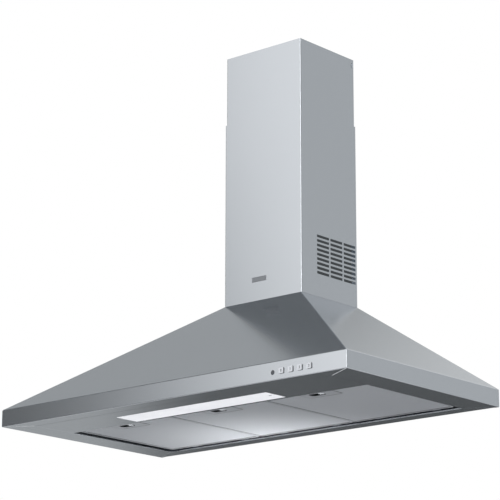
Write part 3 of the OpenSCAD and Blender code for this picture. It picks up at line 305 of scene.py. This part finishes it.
PLATE_PITCH = 250.27
PLATE_GAP_SHADE = 0.9
PLATE_EDGE_SHADE = 0.35  # how dark the painted shade on the nameplate's edge is beside its face
UPWARDS, FORWARDS = 2, 1
outline_plates(latch_metal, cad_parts["latch_plate_centre"], PLATE_PITCH, PLATE_GAP_SHADE)
# painted shade on the sides of the nameplate, the filter rims, the latch plates and the button caps
shade_sides(plate_metal, FORWARDS, PLATE_EDGE_SHADE)
shade_sides(rim_metal, UPWARDS, GAP_SHADE)
shade_sides(latch_metal, UPWARDS, GAP_SHADE)
shade_sides(button_plastic, FORWARDS, GAP_SHADE)

# Every node gets its material, also those that a piece below stands for.
FINISH = {
    steel: ["canopy", "lamp_panel", "chimney_lower", "chimney_upper"],
    galvanised: ["rear_panel", "chimney_bracket", "motor_bracket"],
    plated: ["chimney_screws", "panel_screws", "diffuser_screw", "collar_screws", "motor_screws", "motor_shaft",
             "flap_rod", "latch_spring_left", "latch_spring_centre", "latch_spring_right"],
    aluminium: ["filter_mesh_left", "filter_mesh_centre", "filter_mesh_right"],
    rim_metal: ["filter_frame_left", "filter_frame_centre", "filter_frame_right"],
    latch_metal: ["latch_plate_left", "latch_plate_centre", "latch_plate_right"],
    latch_chrome: ["latch_slide_left", "latch_slide_centre", "latch_slide_right"],
    grey_plastic: ["volute_left", "volute_right", "outlet_collar", "flap_front", "flap_rear", "switch_block",
                   "control_box", "control_box_cover"],
    black_plastic: ["impeller", "cable_gland"],
    rubber: ["lead_grommet"],
    button_plastic: ["button_1", "button_2", "button_3", "button_4"],
    lens_plastic: ["indicator_lens"],
    opal: ["light_diffuser"],
    ceramic: ["lamp_holders", "terminal_block", "capacitor"],
    enamel: ["light_reflector"],
    motor_paint: ["motor_body"],
    brass: ["impeller_nut"],
    glass: ["lamp_bulbs"],
}
for material, names in FINISH.items():
    for name in names:
        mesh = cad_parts[name].data
        mesh.materials.clear()
        mesh.materials.append(material)

# making pieces


def only(item):
    """Leaves just this object selected, and active."""
    if bpy.context.object and bpy.context.object.mode != "OBJECT":
        bpy.ops.object.mode_set(mode="OBJECT")
    bpy.ops.object.select_all(action="DESELECT")
    item.select_set(True)
    bpy.context.view_layer.objects.active = item


def block(name, low, high):
    """A box between two corners, given in millimetres."""
    bpy.ops.object.select_all(action="DESELECT")
    middle = [(a + b) / 2 * MM for a, b in zip(low, high)]
    bpy.ops.mesh.primitive_cube_add(size=1, location=middle)
    item = bpy.context.object
    item.name = item.data.name = name
    item.scale = [(b - a) * MM for a, b in zip(low, high)]
    bpy.ops.object.transform_apply(location=True, rotation=True, scale=True)
    return item


ROUND_SIDES = 48


def drum(name, radius, place, depth):
    """A cylinder along Y, its middle at that place, in millimetres."""
    bpy.ops.object.select_all(action="DESELECT")
    bpy.ops.mesh.primitive_cylinder_add(vertices=ROUND_SIDES, radius=radius * MM, depth=depth * MM,
                                        location=[v * MM for v in place], rotation=(math.pi / 2, 0, 0))
    item = bpy.context.object
    item.name = item.data.name = name
    bpy.ops.object.transform_apply(location=True, rotation=True, scale=True)
    return item


def pick(item, faces=None, edges=None):
    """Goes to edit mode with the faces or edges that pass the test selected; places are in millimetres."""
    only(item)
    mesh = item.data
    for group in (mesh.vertices, mesh.edges, mesh.polygons):
        group.foreach_set("select", [False] * len(group))
    if faces:
        for face in mesh.polygons:
            face.select = bool(faces(face.center / MM, face.normal))
    else:
        for edge in mesh.edges:
            ends = [mesh.vertices[v].co / MM for v in edge.vertices]
            edge.select = bool(edges(*ends))
            if edge.select:
                for v in edge.vertices:
                    mesh.vertices[v].select = True
    bpy.ops.object.mode_set(mode="EDIT")
    bpy.ops.mesh.select_mode(type="FACE" if faces else "EDGE")


def apply_modifiers(item):
    """Makes the piece's modifiers part of its mesh."""
    only(item)
    for modifier in list(item.modifiers):
        bpy.ops.object.modifier_apply(modifier=modifier.name)


def cut_away(item, cutters):
    """Cuts the cutters out of the piece and removes them."""
    for cutter in cutters:
        modifier = item.modifiers.new("cut", "BOOLEAN")
        modifier.operation = "DIFFERENCE"
        modifier.solver = "EXACT"
        modifier.object = cutter
        apply_modifiers(item)
        bpy.data.objects.remove(cutter)


def soften(item, width, segments, angle):
    """Rounds the sharp edges, as a bend or a mould leaves them."""
    modifier = item.modifiers.new("round", "BEVEL")
    modifier.width = width * MM
    modifier.segments = segments
    modifier.limit_method = "ANGLE"
    modifier.angle_limit = math.radians(angle)
    apply_modifiers(item)


SMOOTH_BELOW = 35
LARGEST_FIRST = 100  # the largest faces set the normals where a bend meets them


def finish_piece(item, material, body, replaced=()):
    """Gives a piece its material, smooth bends beside flat faces, and its body and replaced nodes."""
    only(item)
    item.data.materials.clear()
    item.data.materials.append(material)
    bpy.ops.object.shade_smooth_by_angle(angle=math.radians(SMOOTH_BELOW))
    modifier = item.modifiers.new("flat_faces", "WEIGHTED_NORMAL")
    modifier.weight = LARGEST_FIRST
    modifier.keep_sharp = True
    apply_modifiers(item)
    if body:
        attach(item, body)
    if replaced:
        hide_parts(*replaced)


FACING = 0.9  # a face looks along an axis when its normal has more than this along it
LONG = 0.1  # an edge runs along an axis when it is longer than this along it
TOUCH, NEAR = 0.01, 1
BEND_STEPS, CORNER_STEPS = 4, 5

# canopy, in millimetres: its overall size, the chimney's foot, and the opening with its lip and shelf
CANOPY_W, FRONT_Y, WALL_Y, BAND_H, CANOPY_H = 898, -239, 241, 35, 253
CHIMNEY_W, CHIMNEY_D = 206, 184
OPEN_X, OPEN_FRONT, OPEN_REAR, LIP_H, SHELF = 386, -203, 205, 14, 14
SHEET = 1
SPARE = 6  # the sheet is built this much deeper than the wall plane and then cut flat
SHARP_FROM, BEND_ROUND, LIP_ROUND = 20, 1.3, 0.35
CLEAR = 9  # how far a cutter reaches past the sheet
DUCT_HALF, DUCT_FRONT, DUCT_REAR, DUCT_REACH = 58, 99.9, 198, 6
LENS_X, LENS_Z, LENS_HOLE_R = 276, 15, 4.5
TAB_X, TAB_HALF, TAB_LOW, TAB_HIGH, TAB_REACH = 70, 9.8, 6, 11, 3
BUTTON_X = [297, 319, 341, 363]
BUTTON_Z, BUTTON_W, BUTTON_H, BUTTON_PROUD, DISH, CAP_CORNER = 16, 11.3, 11, 2, 0.25, 2
BUTTON_GAP = 0.3
HOLE_REACH = 4

# the mitred seams between the flanges, from the outer corners to the opening's
SEAM_CORNERS = [(sx, y0, y1) for sx in (-1, 1) for y0, y1 in ((FRONT_Y, OPEN_FRONT), (WALL_Y, OPEN_REAR))]
SEAM_START = 3
WELD_HALF, WELD_LOW, WELD_HIGH, WELD_ROUND = 0.9, 0.02, 0.5, 0.35
GROOVE_HALF, GROOVE_LOW, GROOVE_HIGH = 0.95, -1, 0.55


def seam_bar(name, side, y0, y1, half, low, high):
    """A thin bar along the mitre between two flanges, from the outer corner to the opening's corner."""
    run = Vector((side * (OPEN_X - CANOPY_W / 2), y1 - y0))
    start = Vector((side * CANOPY_W / 2, y0)) + run.normalized() * SEAM_START
    bar = block(name, (0, -half, low), (run.length - 2 * SEAM_START, half, high))
    if name != "cut":
        pick(bar, edges=lambda a, b: abs(a.x - b.x) > LONG and max(a.z, b.z) < low + TOUCH)
        bpy.ops.mesh.bevel(offset=WELD_ROUND * half * MM, segments=BEND_STEPS, affect="EDGES")
        bpy.ops.object.mode_set(mode="OBJECT")
        only(bar)
    bar.rotation_euler = (0, 0, math.atan2(run.y, run.x))
    bar.location = (start.x * MM, start.y * MM, 0)
    bpy.ops.object.transform_apply(location=True, rotation=True, scale=True)
    return bar


def make_canopy():
    """Pressed from one sheet: band, sloped roof, deck, flanges, and a lip and shelf round the opening."""
    half = CANOPY_W / 2
    item = block("canopy_sheet", (-half, FRONT_Y, 0), (half, WALL_Y + SPARE, BAND_H))
    pick(item, faces=lambda c, n: n.z > FACING)
    bpy.ops.mesh.extrude_region_move(TRANSFORM_OT_translate={"value": (0, 0, (CANOPY_H - BAND_H) * MM)})
    bpy.ops.transform.resize(value=(CHIMNEY_W / CANOPY_W, CHIMNEY_D / (WALL_Y - FRONT_Y), 1),
                             center_override=(0, WALL_Y * MM, CANOPY_H * MM))
    pick(item, faces=lambda c, n: n.z < -FACING)
    flange = OPEN_FRONT - FRONT_Y
    bpy.ops.mesh.inset(thickness=flange * MM, depth=0)
    inner_depth = WALL_Y + SPARE - flange - OPEN_FRONT
    bpy.ops.transform.resize(value=(OPEN_X / (half - flange), (OPEN_REAR - OPEN_FRONT) / inner_depth, 1),
                             center_override=(0, OPEN_FRONT * MM, 0))
    bpy.ops.mesh.extrude_region_move(TRANSFORM_OT_translate={"value": (0, 0, (LIP_H - SHEET) * MM)})
    bpy.ops.mesh.inset(thickness=SHELF * MM, depth=0)
    bpy.ops.mesh.delete(type="FACE")
    pick(item, faces=lambda c, n: n.y > FACING and c.y > WALL_Y)
    bpy.ops.mesh.delete(type="FACE")
    bpy.ops.mesh.select_all(action="DESELECT")
    bpy.ops.mesh.edges_select_sharp(sharpness=math.radians(SHARP_FROM))
    bpy.ops.object.mode_set(mode="OBJECT")
    rounding = item.data.attributes.new("bevel_weight_edge", "FLOAT", "EDGE")
    for edge in item.data.edges:
        ends = [item.data.vertices[v].co / MM for v in edge.vertices]
        at_lip = all(abs(v.z) < NEAR and abs(v.x) < OPEN_X + NEAR
                     and OPEN_FRONT - NEAR < v.y < OPEN_REAR + NEAR for v in ends)
        radius = LIP_ROUND if at_lip else BEND_ROUND
        rounding.data[edge.index].value = radius / BEND_ROUND if edge.select else 0
    bend = item.modifiers.new("bend", "BEVEL")
    bend.limit_method = "WEIGHT"
    bend.width = BEND_ROUND * MM
    bend.segments = BEND_STEPS
    apply_modifiers(item)
    wall = item.modifiers.new("sheet", "SOLIDIFY")
    wall.thickness = SHEET * MM
    wall.offset = -1
    wall.use_even_offset = True
    apply_modifiers(item)
    cutters = [block("cut", (-half - CLEAR, WALL_Y, -CLEAR),
                     (half + CLEAR, WALL_Y + 2 * SPARE, CANOPY_H + CLEAR)),
               block("cut", (-DUCT_HALF, DUCT_FRONT, CANOPY_H - DUCT_REACH),
                     (DUCT_HALF, DUCT_REAR, CANOPY_H + DUCT_REACH))]
    cutters += [seam_bar("cut", *corner, GROOVE_HALF, GROOVE_LOW, GROOVE_HIGH) for corner in SEAM_CORNERS]
    for x in BUTTON_X:
        half_w, half_h = BUTTON_W / 2 + BUTTON_GAP, BUTTON_H / 2 + BUTTON_GAP
        hole = block("cut", (x - half_w, FRONT_Y - HOLE_REACH, BUTTON_Z - half_h),
                     (x + half_w, FRONT_Y + HOLE_REACH, BUTTON_Z + half_h))
        pick(hole, edges=lambda a, b: abs(a.y - b.y) > LONG)
        bpy.ops.mesh.bevel(offset=(CAP_CORNER + BUTTON_GAP) * MM, segments=CORNER_STEPS, affect="EDGES")
        bpy.ops.object.mode_set(mode="OBJECT")
        cutters.append(hole)
    cutters.append(drum("cut", LENS_HOLE_R, (LENS_X, FRONT_Y, LENS_Z), 2 * HOLE_REACH))
    for k in (-1, 0, 1):
        for side in (-1, 1):
            x = k * PLATE_PITCH + side * TAB_X
            cutters.append(block("cut", (x - TAB_HALF, OPEN_REAR - TAB_REACH, TAB_LOW),
                                 (x + TAB_HALF, OPEN_REAR + TAB_REACH, TAB_HIGH)))
    cut_away(item, cutters)
    finish_piece(item, steel, "hood", ["canopy"])


make_canopy()
for number, corner in enumerate(SEAM_CORNERS):
    # the two at the front get a painted highlight, brighter than the sheet
    weld = seam_bar("mitre_weld_%d" % (number + 1), *corner, WELD_HALF, WELD_LOW, WELD_HIGH)
    finish_piece(weld, weld_highlight_steel if FRONT_Y in corner else steel, "hood")

# nameplate, left bare
PLATE_LOW, PLATE_HIGH = (-28.5, 56.3, 293), (9.3, 57, 303)
PLATE_CORNER, PLATE_RIM, PLATE_STEP = 1.2, 0.7, 0.25


def make_nameplate():
    """A thin stamped plate on the front of the chimney, with a raised rim and nothing on it."""
    plate = block("nameplate", PLATE_LOW, PLATE_HIGH)
    pick(plate, edges=lambda a, b: abs(a.y - b.y) > LONG)
    bpy.ops.mesh.bevel(offset=PLATE_CORNER * MM, segments=BEND_STEPS, affect="EDGES")
    pick(plate, faces=lambda c, n: n.y < -FACING)
    bpy.ops.mesh.inset(thickness=PLATE_RIM * MM, depth=0)
    bpy.ops.mesh.inset(thickness=PLATE_STEP * MM, depth=-PLATE_STEP * MM)
    bpy.ops.object.mode_set(mode="OBJECT")
    finish_piece(plate, plate_metal, "hood")


make_nameplate()

# push-buttons and their marks
CAP_REACH, CAP_RIM, CAP_SLOPE, CAP_ROUND, CAP_STEPS, CAP_SHARP = 9, 1, 0.5, 0.3, 3, 50
STEM_INSET, STEM_L = 3.05, 8
MARK_SIZE, MARK_WEIGHT, MARK_DEEP = 6.5, 0.13, 0.04


def make_button(x, body):
    """A moulded cap with a shallow dish in its front and a square stem behind."""
    cap = block("cap_" + body, (x - BUTTON_W / 2, FRONT_Y - BUTTON_PROUD, BUTTON_Z - BUTTON_H / 2),
                (x + BUTTON_W / 2, FRONT_Y + CAP_REACH, BUTTON_Z + BUTTON_H / 2))
    pick(cap, edges=lambda a, b: abs(a.y - b.y) > LONG)
    bpy.ops.mesh.bevel(offset=CAP_CORNER * MM, segments=CORNER_STEPS, affect="EDGES")
    pick(cap, faces=lambda c, n: n.y < -FACING)
    bpy.ops.mesh.inset(thickness=CAP_RIM * MM, depth=0)
    bpy.ops.mesh.inset(thickness=CAP_SLOPE * MM, depth=-DISH * MM)
    pick(cap, faces=lambda c, n: n.y > FACING)
    bpy.ops.mesh.inset(thickness=STEM_INSET * MM, depth=0)
    bpy.ops.mesh.extrude_region_move(TRANSFORM_OT_translate={"value": (0, STEM_L * MM, 0)})
    bpy.ops.object.mode_set(mode="OBJECT")
    soften(cap, CAP_ROUND, CAP_STEPS, CAP_SHARP)
    finish_piece(cap, button_plastic, body, [body])


def make_mark(text, x, body):
    """A printed figure on a button's cap: off, and the three speeds."""
    bpy.ops.object.select_all(action="DESELECT")
    bpy.ops.object.text_add(location=(0, 0, 0))
    mark = bpy.context.object
    mark.data.body = text
    mark.data.align_x = "CENTER"
    mark.data.align_y = "CENTER"
    mark.data.size = MARK_SIZE * MM
    mark.data.offset = MARK_WEIGHT * MM
    mark.data.extrude = MARK_DEEP * MM
    bpy.ops.object.convert(target="MESH")
    mark = bpy.context.object
    mark.name = mark.data.name = "mark_" + body
    mark.location = (x * MM, (FRONT_Y - BUTTON_PROUD + DISH - MARK_DEEP / 2) * MM, BUTTON_Z * MM)
    mark.rotation_euler = (math.pi / 2, 0, 0)
    bpy.ops.object.transform_apply(location=True, rotation=True, scale=True)
    finish_piece(mark, ink, body)


for number, x in enumerate(BUTTON_X):
    make_button(x, "button_%d" % (number + 1))
    make_mark(str(number), x, "button_%d" % (number + 1))

# latch springs
MERGE = 0.01  # mm


def make_spring(side):
    """The flat zigzag spring behind a latch slide, copied from its node and left on no body.
    One end of the real spring stays on the plate, the other goes with the slide."""
    node = "latch_spring_" + side
    item = bpy.data.objects.new("zigzag_spring_" + side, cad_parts[node].data.copy())
    scene.collection.objects.link(item)
    only(item)
    bpy.ops.object.mode_set(mode="EDIT")
    bpy.ops.mesh.select_all(action="SELECT")
    bpy.ops.mesh.remove_doubles(threshold=MERGE * MM)
    bpy.ops.object.mode_set(mode="OBJECT")
    finish_piece(item, plated, None, [node])
    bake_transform(item)


for side in ("left", "centre", "right"):
    make_spring(side)

# studio
SOFT_LEVEL = 0.8


def studio():
    """White all round wherever it is looked at or mirrored, and an even, slightly dimmer light otherwise."""
    world = bpy.data.worlds.new("studio")
    scene.world = world
    world.use_nodes = True
    tree = world.node_tree
    tree.nodes.clear()
    path = add(tree, "ShaderNodeLightPath")
    looked = add(tree, "ShaderNodeMath", {"operation": "MAXIMUM"}, _0=(path, "Is Camera Ray"),
                 _1=(path, "Is Glossy Ray"))
    seen = add(tree, "ShaderNodeMath", {"operation": "MAXIMUM"}, _0=(looked, 0),
               _1=(path, "Is Transmission Ray"))
    soft = add(tree, "ShaderNodeBackground", Color=linear("#E4E5E8"), Strength=SOFT_LEVEL)
    white = add(tree, "ShaderNodeBackground", Color=linear("#FFFFFF"), Strength=1.0)
    mix = add(tree, "ShaderNodeMixShader", _0=(seen, 0), _1=(soft, 0), _2=(white, 0))
    add(tree, "ShaderNodeOutputWorld", Surface=(mix, 0))


studio()

CARD_R, CARD_SIDES = 30, 360
# Grey cards bent round the hood, which only the mirrored rays see: name, first and last azimuth from the
# front towards the left, lowest and highest elevation, all in degrees, how far the azimuths slant with
# height, and the level at some azimuths.
CARDS = [
    ("card_front_right", -98, 36, -35, 62, 0,
     [(-97, 0.2), (-80, 0.5), (-60, 1.0), (-20, 1.0), (4, 0.7), (20, 0.8), (35, 1.1)]),
    ("card_front_left", 36, 110, -3, 62, 3.0,
     [(37, 1.15), (38.8, 1.1), (40.4, 0.77), (41.4, 0.6), (43, 0.36), (44.5, 0.2), (46, 0.06), (47.2, 0),
      (49.5, 0.03), (51.3, 0.22), (60, 0.23), (104, 0.21), (109, 0.38)]),
    ("card_front_low", 36, 110, -40, -3, 0, [(37, 0.3), (40, 0.1), (109, 0.1)]),
    ("card_left_high", 110, 136, 22, 62, 0, [(111, 0.38), (118, 0.41), (135, 0.41)]),
    ("card_wall_high", 140, 172, 21, 55, 0, [(141, 0.2), (147, 0.22), (152.5, 0.6), (171, 0.6)]),
    ("card_right_rear", -162, -130, 2, 60, 0, [(-161, 0.56), (-145, 0.55), (-131, 0.5)]),
    ("card_right", -130, -98, -10, 60, 0, [(-129, 0.28), (-99, 0.1)]),
    ("card_low_rear", 124, 170, -40, 8, 0,
     [(125, 0.4), (135, 0.4), (136.6, 0.2), (138, 0.11), (140, 0.12), (143, 0.1), (169, 0.08)]),
    ("card_low_back", 170, 180, -50, 8, 0, [(171, 0.08), (179, 0.3)]),
    ("card_low_right", -180, -98, -50, -11, 0, [(-179, 0.3), (-145, 0.5), (-99, 0.35)]),
]
SLANT_FROM, SLANT_TO = 12.6, 20  # the slant comes in between these elevations
CARD_PEAK = 1.25
LESS_RED, MORE_BLUE = 0.06, 0.03  # of a dark card


def grey(level):
    """A card's colour at that level: a little blue where it is dark."""
    dark = 1 - min(level, 1)
    return [level * share / CARD_PEAK for share in (1 - LESS_RED * dark, 1, 1 + MORE_BLUE * dark)] + [1]


def card(name, first, last, low, high, slant, levels):
    """A bent card that glows in greys along its length; only mirrored rays see it."""
    bottom, top = (CARD_R * math.tan(math.radians(a)) for a in (low, high))
    bpy.ops.object.select_all(action="DESELECT")
    bpy.ops.mesh.primitive_cylinder_add(vertices=CARD_SIDES, radius=CARD_R, depth=top - bottom,
                                        end_fill_type="NOTHING", location=(0, 0, (top + bottom) / 2))
    item = bpy.context.object
    item.name = item.data.name = name
    bpy.ops.object.transform_apply(location=True, rotation=True, scale=True)
    pick(item, faces=lambda c, n: not first < math.degrees(math.atan2(-c.x, -c.y)) < last)
    bpy.ops.mesh.delete(type="FACE")
    bpy.ops.object.mode_set(mode="OBJECT")
    material, tree = bare_material(name)
    place = add(tree, "ShaderNodeTexCoord")
    axes = add(tree, "ShaderNodeSeparateXYZ", _0=(place, "Object"))
    left = add(tree, "ShaderNodeMath", {"operation": "MULTIPLY"}, _0=(axes, 0), _1=-1.0)
    front = add(tree, "ShaderNodeMath", {"operation": "MULTIPLY"}, _0=(axes, 1), _1=-1.0)
    turn = add(tree, "ShaderNodeMath", {"operation": "ARCTAN2"}, _0=(left, 0), _1=(front, 0))
    lift = add(tree, "ShaderNodeMapRange", _0=(axes, 2), _1=CARD_R * math.tan(math.radians(SLANT_FROM)),
               _2=CARD_R * math.tan(math.radians(SLANT_TO)), _3=0.0, _4=math.radians(slant))
    eased = add(tree, "ShaderNodeMath", {"operation": "SUBTRACT"}, _0=(turn, 0), _1=(lift, 0))
    share = add(tree, "ShaderNodeMapRange", _0=(eased, 0), _1=math.radians(first), _2=math.radians(last))
    ramp = add(tree, "ShaderNodeValToRGB", _0=(share, 0))
    stops = ramp.color_ramp.elements
    stops[0].color, stops[1].color = grey(levels[0][1]), grey(levels[-1][1])
    for azimuth, level in levels[1:-1]:
        stops.new((azimuth - first) / (last - first)).color = grey(level)
    glow = add(tree, "ShaderNodeEmission", Color=(ramp, 0), Strength=CARD_PEAK)
    add(tree, "ShaderNodeOutputMaterial", Surface=(glow, 0))
    item.data.materials.append(material)
    item.visible_camera = item.visible_diffuse = item.visible_shadow = False


for row in CARDS:
    card(*row)


def lamp(name, place, target, size, power):
    """A soft rectangular lamp that the camera doesn't see."""
    data = bpy.data.lights.new(name, "AREA")
    data.shape = "RECTANGLE"
    data.size, data.size_y = size
    data.energy = power
    item = bpy.data.objects.new(name, data)
    scene.collection.objects.link(item)
    item.location = place
    item.rotation_euler = (Vector(target) - Vector(place)).to_track_quat("-Z", "Y").to_euler()
    item.visible_camera = False
    return item


# place, target, size and watts; the steel doesn't mirror the two fills
lamp("key_strip", (2.6, -2.2, 1.0), (0, 0, 0.3), (0.8, 2.4), 28)
rear_fill = lamp("low_rear_fill", (-0.13, 0.26, -0.4), (-0.13, 0.25, 0), (0.1, 0.1), 3.8)
rear_fill.data.spread = math.radians(80)
front_fill = lamp("low_front_fill", (0, -0.6, -1.2), (0, 0, 0), (1.6, 1.0), 9.5)
rear_fill.visible_glossy = front_fill.visible_glossy = False

FLOOR_R, FLOOR_Z = 4, -1.62
FADE_FROM, FADE_TO = 0.35 * FLOOR_R, 0.98 * FLOOR_R


def pale_floor():
    """A pale floor that fades into the white round it; from below it isn't there."""
    bpy.ops.object.select_all(action="DESELECT")
    bpy.ops.mesh.primitive_plane_add(size=2 * FLOOR_R, location=(0, 0, FLOOR_Z))
    floor = bpy.context.object
    floor.name = "floor"
    bpy.ops.object.transform_apply(location=True, rotation=True, scale=True)
    material, tree, shader, place = new_material("pale_floor", "#F1F1F2", 0.0, 0.6)
    flat = add(tree, "ShaderNodeVectorMath", {"operation": "MULTIPLY"}, _0=(place, "Object"), _1=(1, 1, 0))
    away = add(tree, "ShaderNodeVectorMath", {"operation": "LENGTH"}, _0=(flat, 0))
    fade = add(tree, "ShaderNodeMapRange", {"interpolation_type": "SMOOTHSTEP"}, _0=(away, "Value"),
               _1=FADE_FROM, _2=FADE_TO)
    back = add(tree, "ShaderNodeNewGeometry")
    gone = add(tree, "ShaderNodeMath", {"operation": "MAXIMUM"}, _0=(fade, 0), _1=(back, "Backfacing"))
    clear = add(tree, "ShaderNodeBsdfTransparent")
    mix = add(tree, "ShaderNodeMixShader", _0=(gone, 0), _1=(shader, 0), _2=(clear, 0))
    tree.links.new(mix.outputs[0], tree.nodes["Material Output"].inputs["Surface"])
    floor.data.materials.append(material)


PATCH_W, PATCH_H, PATCH_Z = 0.196, 0.343, 0.429  # metres
PATCH_OFF = 0.6  # mm behind the wall plane
PATCH_PAINTED_DARK, PATCH_PAINTED_GLOW = 0.062, 0.3  # painted dark to the camera, and a painted glow to what it lights


def wall_patch():
    """A glowing sheet behind the chimney that paints the shade seen through its slots; from behind it isn't
    there.
    It glows paler to what it lights, a painted light standing in for the open back of the chimney."""
    bpy.ops.object.select_all(action="DESELECT")
    bpy.ops.mesh.primitive_plane_add(size=1, location=(0, (WALL_Y + PATCH_OFF) * MM, PATCH_Z),
                                     rotation=(math.pi / 2, 0, 0))
    patch = bpy.context.object
    patch.name = "wall_patch"
    patch.scale = (PATCH_W, PATCH_H, 1)
    bpy.ops.object.transform_apply(location=True, rotation=True, scale=True)
    material, tree = bare_material("painted_shade_wall")
    path = add(tree, "ShaderNodeLightPath")
    level = add(tree, "ShaderNodeMix", {"data_type": "FLOAT"}, Factor=(path, "Is Camera Ray"),
                A=PATCH_PAINTED_GLOW, B=PATCH_PAINTED_DARK)
    glow = add(tree, "ShaderNodeEmission", Color=linear("#EFF9FF"), Strength=(level, 0))
    back = add(tree, "ShaderNodeNewGeometry")
    clear = add(tree, "ShaderNodeBsdfTransparent")
    mix = add(tree, "ShaderNodeMixShader", _0=(back, "Backfacing"), _1=(glow, 0), _2=(clear, 0))
    add(tree, "ShaderNodeOutputMaterial", Surface=(mix, 0))
    patch.data.materials.append(material)


pale_floor()
wall_patch()
scene.view_settings.view_transform = "Standard"
